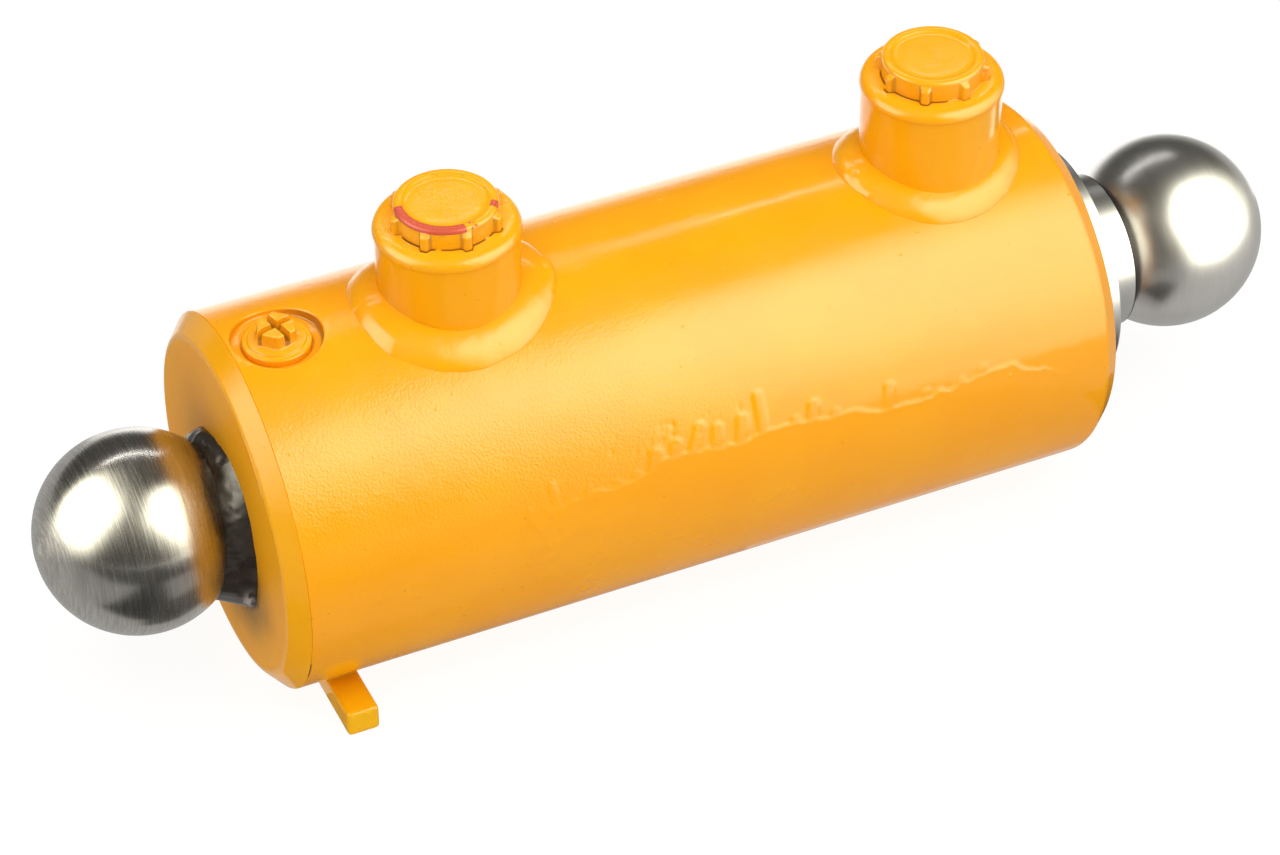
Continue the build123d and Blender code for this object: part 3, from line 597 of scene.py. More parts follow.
def make_barrel():
    """The painted tube: a fine grid where the paint shows relief, then the head end and the bore."""
    angles = np.concatenate([np.arange(-30.0, 33.0, 0.56), np.linspace(33.0, 330.0, 120)[:-1]])
    shoulder_x = TUBE_END - HEAD_CHAMFER_LENGTH
    stations = np.concatenate([
        [TUBE_START + 0.12], np.arange(TUBE_START + 0.5, 76, 1.1), np.arange(76, 231, 0.5),
        np.arange(231.5, shoulder_x - 0.9, 1.0),
    ])
    grid_x, grid_a = np.meshgrid(stations, angles, indexing="ij")
    relief, peel = barrel_relief(grid_x, np.where(grid_a > 180, grid_a - 360, grid_a))
    rows = list(hoop(grid_x, SKIN_R + relief, grid_a))
    end_profile = rounded([
        (shoulder_x - 2.0, SKIN_R, 0), (shoulder_x, SKIN_R, 0.8),
        (TUBE_END, BARREL_R - HEAD_CHAMFER_DEPTH, 0.5), (TUBE_END, GLAND_SEAT_R + 0.4, 0.3),
        (TUBE_END - 0.5, GLAND_SEAT_R, 0), (GLAND_SEAT_X, GLAND_SEAT_R, 0),
        (GLAND_SEAT_X, BORE_R, 0), (TUBE_START, BORE_R, 0), (TUBE_START, BARREL_R - 0.55, 0),
    ])[1:]
    verts, faces = skin(rows + [hoop(x, r, angles) for x, r in end_profile], loop=True)
    end_peel = np.full(len(verts) - relief.size, 0.3)
    # The dark gap in the cap's seam, low on the front
    up = np.degrees(np.arctan2(verts[:, 2], -verts[:, 1]))
    gap = 0.9 * (verts[:, 0] < TUBE_START + 0.2) * smooth((up + 30) / 2) * smooth((-19 - up) / 2)
    marks = {"peel": np.concatenate([peel.ravel(), end_peel]), "crack_and_shade": gap}
    return piece("barrel_tube_painted", verts, faces, PAINT_BARREL, "barrel",
                 ["barrel_tube", "base_cap_weld"], marks=marks)


def top_z(radius, y):
    """Height at y of the top of a cylinder of the given radius round X."""
    return np.sqrt(np.maximum(radius**2 - y**2, 1.0))


def cut_pocket(obj):
    """Opens a window in the barrel's skin and sets the spot face and its blind hole into it."""
    turn = np.linspace(0, 2 * pi, 180, endpoint=False)
    rows = []
    for out, drop in ((0.5, 0.0), (0.38, 0.03), (0.25, 0.12), (0.14, 0.3), (0.06, 0.6), (0.0, 1.05)):
        r = SPOT_R + out
        z = np.maximum(top_z(SKIN_R, r * np.sin(turn)) - drop, SPOT_FLOOR + 1.4)
        rows.append(ring(BLEED_X, r, z, turn))
    coated, hole_z = SPOT_FLOOR + 0.9, BORE_R + 1.0
    beside_plug = (BLEED_HIGH[0] - BLEED_LOW[0]) / 2 + 0.3
    for r, z in ((SPOT_R - 0.04, coated + 0.42), (SPOT_R - 0.15, coated + 0.2),
                 (SPOT_R - 0.4, coated + 0.06), (SPOT_R - 0.8, coated), (beside_plug + 0.4, coated),
                 (beside_plug, coated - 0.3), (beside_plug, SPOT_FLOOR), (BLEED_THREAD_R, SPOT_FLOOR),
                 (BLEED_THREAD_R, hole_z)):
        rows.append(ring(BLEED_X, r, z, turn))
    rows.append([[BLEED_X, 0, hole_z]])
    verts, faces = skin(rows)
    mesh = bmesh.new()
    mesh.from_mesh(obj.data)
    window_r = SPOT_R + 1.9
    window = []
    for face in mesh.faces:
        middle = face.calc_center_median() / MM
        on_top = middle.z > BORE_R + 3 and middle.x > TUBE_START + 0.6
        if on_top and (middle.x - BLEED_X) ** 2 + middle.y**2 < window_r**2:
            window.append(face)
    bmesh.ops.delete(mesh, geom=window, context="FACES")
    hole = [e for e in mesh.edges if e.is_boundary]
    peel_layer = mesh.verts.layers.float["peel"]
    made = [mesh.verts.new(Vector(v) * MM) for v in verts]
    painted_shade_layer = mesh.verts.layers.float["crack_and_shade"]
    for v in made:
        v[peel_layer] = 0.35
        off = v.co / MM - Vector((BLEED_X, 0, 0))
        out = off.xy.length
        # Painted shade: the pocket's floor and wall are darkened a little, and its wall on the head-end side
        # much more
        if 8.0 < out < SPOT_R + 0.12:
            v[painted_shade_layer] = 0.12 + 0.42 * max(off.x / out, 0.0) * (out > SPOT_R - 0.5)
    for f in faces:
        mesh.faces.new([made[k] for k in f]).smooth = True
    known = set(hole)
    rim = [e for e in mesh.edges if e.is_boundary and e not in known]
    filled = bmesh.ops.triangle_fill(mesh, edges=hole + rim, use_beauty=True, normal=(0, 0, 1))
    for item in filled["geom"]:
        if isinstance(item, bmesh.types.BMFace):
            item.smooth = True
    bmesh.ops.recalc_face_normals(mesh, faces=mesh.faces)
    mesh.to_mesh(obj.data)
    mesh.free()
    obj.data.set_sharp_from_angle(angle=radians(38))


cut_pocket(make_barrel())

# ---------------------------------------------------------------- base cap

cap_profile = rounded([
    (BASE_FACE, 0.0, 0), (BASE_FACE, BARREL_R - BASE_CHAMFER - 0.1, 0.9),
    (TUBE_START - 0.05, BARREL_R - 0.18, 0.7), (TUBE_START + 0.12, BARREL_R - 0.62, 0),
    (TUBE_START, BORE_R, 0), (CAP_INNER, BORE_R - 0.02, 0.4), (CAP_INNER, 0.0, 0),
])
cap = turned_piece(cap_profile, 240, "base_cap_painted", [PAINT, PAINT_FACE], "barrel",
                   "base_cap")
DULL_FACE_R = BARREL_R - BASE_CHAMFER - 1.2
for face in cap.data.polygons:
    if face.center.x < (BASE_FACE + 0.02) * MM and face.center.yz.length < DULL_FACE_R * MM:
        face.material_index = 1

# ---------------------------------------------------------------- balls


def ball_profile(centre_x, cut_x, facing, stem_r):
    """A ball about X, cut flat at cut_x on the side that facing gives (1 or -1), with a short stem."""
    cut = np.arccos(np.clip((cut_x - centre_x) * facing / BALL_R, -1, 1))
    profile = [(centre_x + facing * BALL_R * cos(t), BALL_R * sin(t)) for t in np.linspace(pi, cut, 110)]
    profile[0] = (profile[0][0], 0.0)
    stem_x = cut_x + facing * 5.0
    return profile + [(cut_x, stem_r), (stem_x, stem_r), (stem_x, 0.0)]


turned_piece(ball_profile(0.0, BASE_FACE - 0.4, 1, 10.8), 192, "base_ball_turned",
             BALL_STEEL, "barrel", "base_ball", sharp=50)
turned_piece(ball_profile(ROD_BALL_X, ROD_END, -1, STUD_R - 0.1), 192, "rod_ball_polished",
             POLISHED, "rod", "rod_ball", sharp=50)

# ---------------------------------------------------------------- chromed stage tube and rod

STAGE_R, STAGE_BORE_R, STAGE_SEAT_R = 31.5, 25.0, 27.5
STAGE_STEP_X, STAGE_STEP_R = 62.0, 29.5  # the collar sits on the thinner stretch before the step
STAGE_SEAT_X = 226.0
ROD_R, ROD_STEP_X, ROD_STEP_R = 20.0, 60.5, 10.0

stage_start, stage_end = (corner[0] for corner in box_mm("stage_tube"))
stage_profile = rounded([
    (stage_start, STAGE_BORE_R, 0), (stage_start, STAGE_STEP_R, 0.3),
    # the groove outside for the collar's retaining ring
    (38.5, STAGE_STEP_R, 0), (38.5, 28.3, 0), (40.5, 28.3, 0), (40.5, STAGE_STEP_R, 0),
    (STAGE_STEP_X, STAGE_STEP_R, 0), (STAGE_STEP_X, STAGE_R, 0.3), (stage_end, STAGE_R, 0.55),
    (stage_end, STAGE_SEAT_R, 0.2), (STAGE_SEAT_X, STAGE_SEAT_R, 0), (STAGE_SEAT_X, STAGE_BORE_R, 0),
    # the groove inside for the rod's stop ring
    (43.0, STAGE_BORE_R, 0), (43.0, 26.2, 0), (41.0, 26.2, 0), (41.0, STAGE_BORE_R, 0),
])
turned_piece(stage_profile, 240, "stage_tube_chromed", CHROME, "first_stage", "stage_tube",
             loop=True)
rod_profile = rounded([
    (ROD_START, 0.0, 0), (ROD_START, ROD_STEP_R, 0.3), (ROD_STEP_X, ROD_STEP_R, 0),
    (ROD_STEP_X, ROD_R, 0.3), (ROD_END, ROD_R, 0.35), (ROD_END, STUD_R, 0),
    (ROD_END - STUD_LENGTH, STUD_R, 0), (ROD_END - STUD_LENGTH, 0.0, 0),
])
turned_piece(rod_profile, 240, "piston_rod_chromed", ROD_CHROME, "rod", "piston_rod")

# ---------------------------------------------------------------- ball weld

# The bead's outline round the ball: (degrees above the front, radius on the face, x of its edge on the ball)
BEAD_OUTLINE = (
    (-180, 21.0, 16.5), (-135, 22.5, 15.5), (-90, 24.0, 14.5), (-43, 25.6, 13.4), (-32, 24.4, 13.8),
    (-11, 22.7, 14.6), (1, 22.4, 15.6), (30, 23.0, 16.6), (51, 23.2, 17.4), (68, 22.2, 18.2),
    (90, 19.6, 18.8), (107, 19.6, 18.6), (137, 19.9, 17.6), (180, 21.0, 16.5),
)


def make_ball_weld():
    """A lumpy fillet bead from the ball to the base face, with one scraped, bright place."""
    up = np.linspace(-180, 180, 361)[:-1]
    uneven = Noise(21)
    at_angle, toe_r, ball_x = zip(*BEAD_OUTLINE)
    toe = np.interp(up, at_angle, toe_r) + 0.35 * uneven.layers(up * 0.07, 0.3, 3)
    edge_x = np.interp(up, at_angle, ball_x) + 0.25 * uneven.layers(up * 0.06, 7.7, 3)
    ball_side = np.sqrt(np.maximum(BALL_R**2 - edge_x**2, 1)) - 0.02
    steps = np.linspace(0, 1, 26)
    rows, scar = [], []
    for t in steps:
        x = edge_x + (BASE_FACE - edge_x) * (1 - (1 - t) ** 1.5)
        r = ball_side + (toe - ball_side) * t**1.35
        push = 1.1 * np.sin(pi * t) ** 0.8
        push = push + 0.13 * uneven.layers(up * 0.16 + 0.5 * t, t * 1.6, 2) * np.sin(pi * t)
        rows.append(hoop(np.minimum(x - push * 0.55, BASE_FACE + 0.05), r + push * 0.75, up))
        scar.append(smooth(1 - abs(t - 0.72) / 0.26) * smooth((up + 62) / 10) * smooth((-22 - up) / 12))
    for x, r in ((0.3, 20.0), (0.3, 10.9), (-2.2, 10.9), (-3.0, 16.0)):
        rows.append(hoop(BASE_FACE + x, r, up))
        scar.append(np.zeros(len(up)))
    verts, faces = skin(rows, loop=True)
    piece("base_ball_weld_bead", verts, faces, WELD, "barrel", ["base_ball_weld"], sharp=60,
          marks={"scar": np.concatenate(scar)})


make_ball_weld()

# ---------------------------------------------------------------- port bosses and their welds


def make_boss(node):
    """A round boss on the barrel, threaded inside down to the oil way. Returns its centre, radius and top."""
    low, high = box_mm(node)
    centre_x, radius, top = (low[0] + high[0]) / 2, (high[0] - low[0]) / 2, high[2]
    turn = np.linspace(0, 2 * pi, 200, endpoint=False)
    rows = [ring(centre_x, radius, top_z(BARREL_R, radius * np.sin(turn)) - 0.8, turn)]
    for r, z in rounded([(radius, top - 9, 0), (radius, top, 0.22), (PORT_THREAD_R + 0.9, top, 0.1),
                         (PORT_THREAD_R, top - 0.9, 0)]):
        rows.append(ring(centre_x, r, z, turn))
    for z in np.arange(top - 1.2, top - 13.5, -0.3):
        rows.append(ring(centre_x, PORT_THREAD_R + 0.405 * thread_wave(z, PORT_PITCH, turn), z, turn))
    for r in (PORT_THREAD_R, OIL_WAY_R):
        rows.append(ring(centre_x, r, top - PORT_DEPTH, turn))
    rows.append(ring(centre_x, OIL_WAY_R, top_z(BARREL_R, OIL_WAY_R * np.sin(turn)) - 0.8, turn))
    verts, faces = skin(rows, loop=True)
    piece(node + "_painted", verts, faces, PAINT, "barrel", [node])
    return centre_x, radius, top


def make_boss_weld(node, centre_x, wall, toes, leg, seed, lumps):
    """An uneven fillet bead round a boss.

    toes holds its outer edge as (degrees in plan, radius), lumps its drops as
    (degrees, share of the way out, width in degrees, height)."""
    turn_deg = np.linspace(-180, 180, 301)[:-1]
    turn = np.radians(turn_deg)
    ripple = Noise(seed)
    toe = np.interp(turn_deg, [t[0] for t in toes], [t[1] for t in toes])
    toe = toe + 0.22 * ripple.layers(turn_deg * 0.06, 1.7, 3)
    rows = []
    for t in np.concatenate([np.linspace(0, 0.9, 20), np.linspace(0.925, 1.0, 7)]):
        r = wall - 0.3 + (toe - wall + 0.3) * t
        h = leg * (1 - t**2.4) ** 0.85
        h = h + 0.07 * ripple.layers(turn_deg * 0.09 + 1.1 * t, 1.6 * t, 2) * np.sin(pi * t) ** 0.7
        for at_deg, at_t, wide, tall in lumps:
            away = (turn_deg - at_deg + 180) % 360 - 180
            h = h + tall * np.exp(-((away / wide) ** 2) - ((t - at_t) / 0.16) ** 2)
        y = r * np.sin(turn)
        row = ring(centre_x, r, top_z(BARREL_R, y) - 0.2 + h, turn)
        # On the barrel's flanks the bead leans outwards with the surface
        row[:, 1] += h * (y / BARREL_R) * 0.35 * t
        rows.append(row)
    for r in (toe + 0.05, wall + 4.5, wall - 0.6):
        rows.append(ring(centre_x, r, top_z(BARREL_R, r * np.sin(turn)) - 1.5, turn))
    verts, faces = skin(rows, loop=True)
    count = len(turn)
    # Painted shade: a dark line along the crease between the bead and the boss wall, on the front
    front = smooth((turn_deg + 150) / 15) * smooth((-70 - turn_deg) / 12)
    crack_and_shade = np.zeros(len(verts))
    crack_and_shade[:count] = front * 0.5
    crack_and_shade[count:2 * count] = front * 0.2
    piece(node + "_painted", verts, faces, PAINT_WELD, "barrel", [node], sharp=80,
          marks={"crack_and_shade": crack_and_shade})


base_x, base_wall, base_top = make_boss("base_port_boss")
head_x, head_wall, head_top = make_boss("head_port_boss")
make_boss_weld("base_port_boss_weld", base_x, base_wall,
               ((-180, 24.6), (-144, 26.4), (-113, 25.1), (-77, 24.1), (-43, 24.5), (-20, 25.4), (20, 25.0),
                (90, 24.6), (180, 24.6)),
               3.2, 31, ((-12, 0.92, 7, 0.9), (-4, 1.0, 4, 0.8), (-150, 0.7, 14, 0.5)))
make_boss_weld("head_port_boss_weld", head_x, head_wall,
               ((-180, 24.4), (-147, 24.1), (-125, 23.6), (-90, 22.5), (-47, 22.2), (-22, 22.8), (90, 23.0),
                (180, 24.4)),
               3.0, 37, ((-168, 0.75, 5, 0.6), (-156, 0.9, 4, 0.5), (-178, 0.9, 5, 0.6), (172, 0.8, 6, 0.4)))

# ---------------------------------------------------------------- port plugs


KNOB_R, FLANGE_T = 12.5, 3.0
RIB_STEP, RIB_OUT, RIB_HALF = pi / 4, 1.4, 1.15
DISH_R, DISH_DEPTH = 10.1, 0.6
STEM_R, STEM_WALL = 9.24, 2.2


def make_plug(node, centre_x, seat, turn_by, material, bare, cracks, seed):
    """A screw plug in one closed skin: rounded flange, ribbed and dished knob, threaded hollow stem.

    bare and cracks hold (start, end, strength) arcs in degrees. The cracks are dark, partly as painted shade
    in the crevice at the knob's foot and beside the ribs."""
    low, high = box_mm(node)
    flange_r, top, stem_end = (high[0] - low[0]) / 2, high[2], low[2]
    base_z = seat + FLANGE_T
    count = 400
    turn = np.linspace(0, 2 * pi, count, endpoint=False)
    turn_deg = np.degrees(turn)
    uneven = Noise(seed)
    # How far each direction lies from the nearest rib, in millimetres along the knob
    from_rib = np.abs(((turn - radians(turn_by) + RIB_STEP / 2) % RIB_STEP) - RIB_STEP / 2) * KNOB_R
    beside = smooth((0.5 - np.abs(from_rib - RIB_HALF - 0.15)) / 0.35)
    crack_arc, bare_arc = np.zeros(count), np.zeros(count)
    for start, end, dark in cracks:
        crack_arc = np.maximum(crack_arc, dark * arc_share(turn_deg, start, end, 4))
    for start, end, amount in bare:
        bare_arc = np.maximum(bare_arc, amount * arc_share(turn_deg, start, end, 6))
    groove = 0.28 * smooth(crack_arc)
    # Overspray lies on two sides of the flange
    left, right = (smooth(1 - np.abs((turn_deg - middle + 180) % 360 - 180) / 34) for middle in (172, 8))
    sprayed = np.maximum(left, right)
    rows, cracked, bared, dusty = [], [], [], []

    def add(r, z, crack_and_shade=0.0, red=0.0, dust=0.0):
        rows.append(ring(centre_x, r, z, turn))
        for values, value in ((cracked, crack_and_shade), (bared, red), (dusty, dust)):
            values.append(np.broadcast_to(value, (count,)))

    def knob_radius(z):
        reach = RIB_OUT * smooth((RIB_HALF + 0.55 - from_rib) / 1.15)
        return KNOB_R + reach * smooth((top - 1.1 - z) / 0.8)

    edge, rise = 2.7, FLANGE_T - 0.45
    flange = [(9.1, seat), (flange_r - 0.12, seat), (flange_r - 0.03, seat + 0.08), (flange_r, seat + 0.3)]
    for t in np.linspace(0, pi / 2, 12):
        flange.append((flange_r - edge + edge * cos(t), seat + 0.45 + rise * sin(t)))
    flange.append((KNOB_R + 2.3, base_z + 0.02))
    for r, z in flange:
        add(r + 0.05 * uneven.layers(turn * 1.9, z * 0.6, 2), z, dust=sprayed * (13.5 < r < 16.8) * 0.8)
    # The knob's foot, with a groove where the paint has cracked, dark as a crack and with painted shade in
    # the crevice, then its wall with the ribs
    foot = knob_radius(base_z)
    add(foot + 0.75, base_z + 0.05)
    add(foot + 0.32, base_z + 0.06 - groove * 0.2)
    add(foot + 0.10, base_z + 0.02 - groove, crack_arc)
    add(foot - 0.02, base_z + 0.16 - groove * 0.6, crack_arc)
    # Painted shade on the wall in the corners beside the ribs, along the cracked arcs
    for z in np.linspace(base_z + 0.4, top - 1.35, 12):
        add(knob_radius(z), z, 0.5 * beside * crack_arc)
    for inset, down in ((0.0, 1.05), (0.03, 0.8), (0.10, 0.55), (0.28, 0.3), (0.55, 0.12), (0.9, 0.03),
                        (1.25, 0.0)):
        add(knob_radius(top - down) - inset, top - down, 0, bare_arc * smooth((1.7 - down) / 0.8))
    dish_z = top - DISH_DEPTH
    for out, z, red in ((0.75, top, 1.0), (0.45, top - 0.03, 0.8), (0.15, top - 0.16, 0.45),
                        (-0.15, top - 0.42, 0), (-0.45, dish_z + 0.05, 0), (-0.8, dish_z, 0),
                        (-1.6, dish_z + 0.02, 0)):
        add(DISH_R + out + 0.05 * uneven.layers(turn * 1.6, 4.4, 2), z, 0, bare_arc * red)
    for r in (7.2, 5.8, 4.2, 2.6, 1.2):
        add(r, dish_z + 0.04 + 0.02 * uneven.layers(turn * 0.8, r, 2), dust=0.45)
    rows.append([[centre_x, 0, dish_z + 0.04]])
    # The stem below the flange, with its thread, then the hollow inside it
    stem = [ring(centre_x, STEM_R - 0.6, seat - 0.01, turn)]
    for z in np.arange(seat - 0.6, stem_end + 0.8, -0.3):
        stem.append(ring(centre_x, STEM_R - 0.55 + 0.45 * thread_wave(z, PORT_PITCH, turn), z, turn))
    hollow_top = top - 3.2
    for r, z in ((STEM_R - 0.9, stem_end), (STEM_R - STEM_WALL, stem_end), (STEM_R - STEM_WALL, hollow_top)):
        stem.append(ring(centre_x, r, z, turn))
    stem.append([[centre_x, 0, hollow_top]])
    verts, faces = skin(stem[::-1] + rows)
    on_stem = np.zeros(sum(len(row) for row in stem))
    marks = {key: np.concatenate([on_stem] + values + [[centre]]) for key, values, centre in
             (("crack_and_shade", cracked, 0.0), ("bare", bared, 0.0), ("dust", dusty, 0.45))}
    obj = piece(node + "_painted", verts, faces, [material, PLASTIC], node.replace("_port_plug", "_plug"),
                [node], sharp=60, marks=marks)
    for face in obj.data.polygons:
        if face.center.z < (seat - 0.05) * MM:
            face.material_index = 1


make_plug("base_port_plug", base_x, base_top, 0.0, PAINT_PLUG,
          bare=((166, 274, 0.95), (272, 292, 0.45), (318, 338, 0.62)),
          cracks=((190, 238, 0.9), (240, 296, 0.8), (298, 340, 0.8), (182, 190, 0.5)), seed=41)
make_plug("head_port_plug", head_x, head_top, 10.0, PAINT_PLUG_CLEAN,
          bare=(), cracks=((150, 262, 0.8), (268, 292, 0.45), (312, 340, 0.3)), seed=43)

# ---------------------------------------------------------------- bleed plug


def make_bleed_plug():
    """Flange, raised ring, hexagon with an open cross slot, and a threaded stem, softened by paint."""
    count = 480
    turn = np.linspace(0, 2 * pi, count, endpoint=False)
    top, stem_end, floor = BLEED_HIGH[2], BLEED_LOW[2], SPOT_FLOOR
    flange_r, flange_top = (BLEED_HIGH[0] - BLEED_LOW[0]) / 2, floor + 2.2
    hex_turn, hex_flats = radians(16), 9.0
    from_corner = (turn - hex_turn) % (pi / 3) - pi / 6
    hexagon = np.minimum(hex_flats / 2 / np.cos(from_corner), hex_flats / 2 * 1.125)
    slot_floor, slot_half = top - 2.9, 0.72
    lumpy = Noise(51)
    rows, slots = [], []

    def add(r, z, cut=True):
        x, y = r * np.cos(turn), r * np.sin(turn)
        u = x * cos(hex_turn) + y * sin(hex_turn)
        v = -x * sin(hex_turn) + y * cos(hex_turn)
        slot = smooth((slot_half + 0.22 - np.minimum(np.abs(u), np.abs(v))) / 0.4) * cut
        z = np.broadcast_to(z, (count,)) - np.maximum(z - slot_floor, 0) * slot
        if cut:
            z = z + 0.05 * lumpy.layers(x * 0.9, y * 0.9, 3)
        rows.append(ring(BLEED_X, r, z, turn))
        slots.append(slot)

    for r, z in rounded([(BLEED_THREAD_R - 0.2, floor + 0.01, 0), (flange_r, floor + 0.01, 0.15),
                         (flange_r, flange_top, 0.9), (7.1, flange_top, 0.25), (6.9, flange_top + 0.6, 0.35),
                         (5.6, flange_top + 0.6, 0)], 5):
        add(r, z, cut=False)
    for grow, z in ((0.35, flange_top + 0.62), (0.14, flange_top + 0.7), (0.03, flange_top + 0.95),
                    (0.0, flange_top + 1.5), (0.0, top - 1.6), (0.0, top - 1.0), (0.0, top - 0.55),
                    (-0.06, top - 0.3), (-0.2, top - 0.12), (-0.42, top - 0.02)):
        add(hexagon + grow, z)
    for share in np.arange(0.88, 0.04, -0.035):
        add((hexagon - 0.42) * share, top)
    rows.append([[BLEED_X, 0, slot_floor]])
    slots.append([1.0])
    below = [[[BLEED_X, 0, stem_end]]]
    for z in np.arange(stem_end, floor - 0.3, 0.22):
        below.append(ring(BLEED_X, BLEED_THREAD_R - 0.5 + 0.35 * thread_wave(z, BLEED_PITCH, turn), z, turn))
    verts, faces = skin(below + rows)
    slot = np.concatenate([np.zeros(sum(len(row) for row in below))] + slots)
    # Painted shade deep in the slots, where the red plastic also shows
    deep = slot * (verts[:, 2] < slot_floor + 1.2) * (verts[:, 2] > floor + 3)
    piece("bleed_plug_painted", verts, faces, PAINT_PLUG, "bleed_screw", ["bleed_plug"],
          sharp=70, marks={"bare": deep * 0.42, "crack_and_shade": deep * 0.6, "dust": np.zeros(len(verts))})


make_bleed_plug()

# ---------------------------------------------------------------- stop tab

TAB_ROOT_Y = -18.0  # where the bar ends, tucked under the barrel


def make_stop_tab():
    """The flat bar under the barrel, with its edges rounded."""
    low, high = box_mm("stop_tab")
    high[1] = TAB_ROOT_Y
    middle, size = (low + high) / 2, high - low
    bar = bmesh.new()
    bmesh.ops.create_cube(bar, size=1.0)
    for v in bar.verts:
        v.co = Vector(middle * MM) + Vector((v.co[k] * size[k] * MM for k in range(3)))
    bmesh.ops.bevel(bar, geom=list(bar.edges), offset=1.3 * MM, segments=4, profile=0.6, affect="EDGES")
    long_edges = [e for e in bar.edges if e.calc_length() > 4 * MM]
    bmesh.ops.subdivide_edges(bar, edges=long_edges, cuts=6, use_grid_fill=True)
    bar.verts.index_update()
    verts = [v.co / MM for v in bar.verts]
    faces = [[v.index for v in face.verts] for face in bar.faces]
    bar.free()
    piece("stop_tab_painted", verts, faces, PAINT_TAB, "barrel", ["stop_tab"], sharp=50)


make_stop_tab()

# ---------------------------------------------------------------- floor, light and camera

FLOOR_Z = tube_low[2] - 0.15
FLOOR_GLOW = 0.93
FLOOR_END = 9000.0
SHEET_END = 2500
BARREL_END = 262  # where the sheets under the barrel stop, just past its head end


def card(name, x_low, x_high, y_low, y_high, z, material):
    """A level sheet of the studio, not part of the object."""
    corners = [(x_low, y_low, z), (x_high, y_low, z), (x_high, y_high, z), (x_low, y_high, z)]
    mesh = bpy.data.meshes.new(name)
    mesh.from_pydata([tuple(c * MM for c in p) for p in corners], [], [(0, 1, 2, 3)])
    mesh.materials.append(material)
    obj = bpy.data.objects.new(name, mesh)
    bpy.context.scene.collection.objects.link(obj)
    return obj


def matt(name, colour, glow):
    """A plain sheet. glow is its own light, which keeps it pale where the object shades it."""
    g = Graph(name)
    grain = g.noise(g.object_at(), 4.0, 2)
    faded = [c * 0.985 for c in colour[:3]] + [1]
    g.set(Base_Color=g.mix(g.ramp(grain, 0.3, 0.7, 0, 0.3), colour, faded), Roughness=0.9)
    g.set(Specular_IOR_Level=0.0, Emission_Color=(1.0, 0.995, 0.985, 1), Emission_Strength=glow)
    return g.material


def reflected_sheet(name, x_low, x_high, y_low, y_high, above, grey):
    """A glowing grey sheet a little above the floor, which shows only in the object's reflections."""
    sheet = card(name, x_low, x_high, y_low, y_high, FLOOR_Z + above, matt(name, (0.02, 0.02, 0.02, 1), grey))
    sheet.visible_camera = False
    sheet.visible_diffuse = False
    sheet.visible_shadow = False


card("floor", -FLOOR_END, FLOOR_END, -FLOOR_END, FLOOR_END, FLOOR_Z,
     matt("floor_white", (0.11, 0.11, 0.11, 1), FLOOR_GLOW))
# The sheets close round the object are painted shade: grey and dark where the floor would lie in the object's
# shade, seen only in its reflections
for sheet_name, x_low, x_high, y_low, y_high, above, grey in (
    ("grey_front", -SHEET_END, BARREL_END, -150, -30, 0.05, 0.33),
    ("grey_front_end", BARREL_END, SHEET_END, -SHEET_END, -30, 0.05, 0.52),
    ("dark_front_left", -SHEET_END, 110, -SHEET_END, -150, 0.05, 0.05),
    ("grey_front_right", 110, BARREL_END, -SHEET_END, -150, 0.05, 0.26),
    ("grey_under", 17, BARREL_END, -30, 60, 0.05, 0.50),
    ("grey_left", -SHEET_END, 17, -30, SHEET_END, 0.05, 0.42),
    ("grey_right", BARREL_END, SHEET_END, -30, SHEET_END, 0.05, 0.45),
    ("grey_far", 17, BARREL_END, 700, SHEET_END, 0.05, 0.25),
    ("bright_back", 60, 420, 60, 700, 0.10, 1.5),
    ("dark_left", -50, 12, -190, -34, 0.10, 0.02),
    ("dark_right", ROD_BALL_X - 39, ROD_BALL_X - 17, -63, -30, 26.0, 0.02),
):
    reflected_sheet(sheet_name, x_low, x_high, y_low, y_high, above, grey)
# The barrel's own shade in front of it, paler towards the head end
for step in range(7):
    reflected_sheet(f"shade_{step}", 23 * step - 10, 23 * step + 13, -64, -24, 0.10, 0.07 + 0.037 * step)


def fade_edges(light, share):
    """Fades a rectangular light towards its edges, over the given share of each side."""
    light.use_nodes = True
    g = Nodes(light.node_tree)
    place = g.xyz(g.node("NewGeometry").outputs["Parametric"])
    fades = [g.ramp(g.math("ABSOLUTE", g.minus(place[k], 0.5)), 0.5, 0.5 - share) for k in (0, 1)]
    g.give(g.tree.nodes["Emission"].inputs["Strength"], g.times(fades[0], fades[1]))


def area_light(name, centre, facing, size, radiance, glossy=True, diffuse=True, across=(1, 0, 0)):
    """A rectangular light shining along facing, its first side along across."""
    light = bpy.data.lights.new(name, "AREA")
    light.shape = "RECTANGLE"
    light.size, light.size_y = size[0] * MM, size[1] * MM
    light.energy = radiance * pi * light.size * light.size_y
    obj = bpy.data.objects.new(name, light)
    bpy.context.scene.collection.objects.link(obj)
    obj.location = Vector(centre) * MM
    away = -Vector(facing).normalized()
    first = Vector(across)
    first = (first - first.dot(away) * away).normalized()
    obj.rotation_euler = Matrix((first, away.cross(first), away)).transposed().to_euler()
    obj.visible_camera = False
    obj.visible_glossy = glossy
    obj.visible_diffuse = diffuse
    return obj


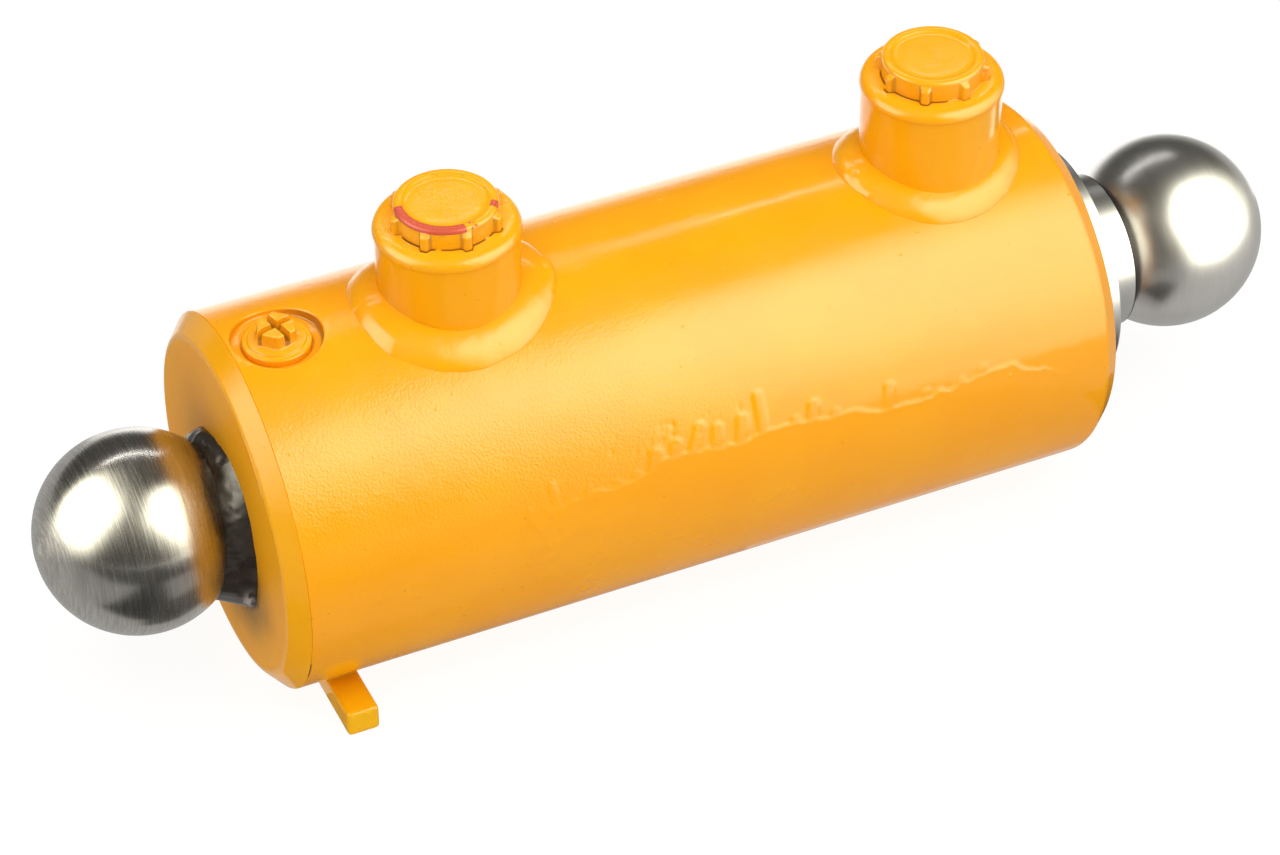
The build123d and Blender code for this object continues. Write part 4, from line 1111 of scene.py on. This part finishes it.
def softbox(name, centre, facing, size, radiance, fade, across):
    """A cream light with faded edges, which shows only in reflections."""
    box = area_light(name, centre, facing, size, radiance, diffuse=False, across=across)
    box.data.color = (1.0, 0.985, 0.84)
    fade_edges(box.data, fade)


softbox("softbox_right", (343, -270, 387), (-0.784, 0.596, -0.173), (914, 1384), 5.9, 0.42,
        (0.498, 0.771, 0.397))
softbox("softbox_left", (-316, 70, 241), (0.76, 0.08, -0.645), (690, 720), 5.4, 0.38, (-0.06, 0.998, 0.057))
area_light("strip_back", (250, 640, 690), (-100, -640, -690), (900, 30), 7.0, diffuse=False)
area_light("key_top", (125, -250, 900), (0, 250, -900), (1400, 1000), 2.85, glossy=False)
area_light("key_left", (-500, -600, 500), (600, 600, -480), (900, 900), 0.86, glossy=False)
area_light("key_right", (700, -600, 500), (-600, 600, -480), (900, 900), 0.7, glossy=False)
area_light("fill_back", (200, 900, 700), (-75, -900, -700), (1600, 1000), 0.8, glossy=False)

# A dim room, a little brighter near the horizon
world = bpy.data.worlds.new("studio")
bpy.context.scene.world = world
world.use_nodes = True
room = Nodes(world.node_tree)
height = room.xyz(room.node("TexCoord").outputs["Generated"])[2]
dimming = {"Value": height, "From Min": 0.0, "From Max": 0.12, "To Min": 0.15, "To Max": 0.07}
background = world.node_tree.nodes["Background"]
room.give(background.inputs["Strength"], room.node("MapRange", dimming).outputs["Result"])
room.give(background.inputs["Color"], (1.0, 0.97, 0.93, 1))

CAMERA_AT = Vector((-201.16, -741.42, 669.80))
CAMERA_TURN = Vector((0.8587, -0.1809, -0.4015))  # the axis, with the angle in radians as its length
camera_data = bpy.data.cameras.new("camera")
camera = bpy.data.objects.new("camera", camera_data)
bpy.context.scene.collection.objects.link(camera)
camera_data.sensor_width = 36.0
camera_data.lens = 119.17
camera_data.clip_end = 50.0
turned = Matrix.Rotation(CAMERA_TURN.length, 4, CAMERA_TURN.normalized())
camera.matrix_world = Matrix.Translation(CAMERA_AT * MM) @ turned
bpy.context.scene.camera = camera
bpy.context.scene.view_settings.view_transform = "Standard"
bpy.context.scene.view_settings.look = "None"
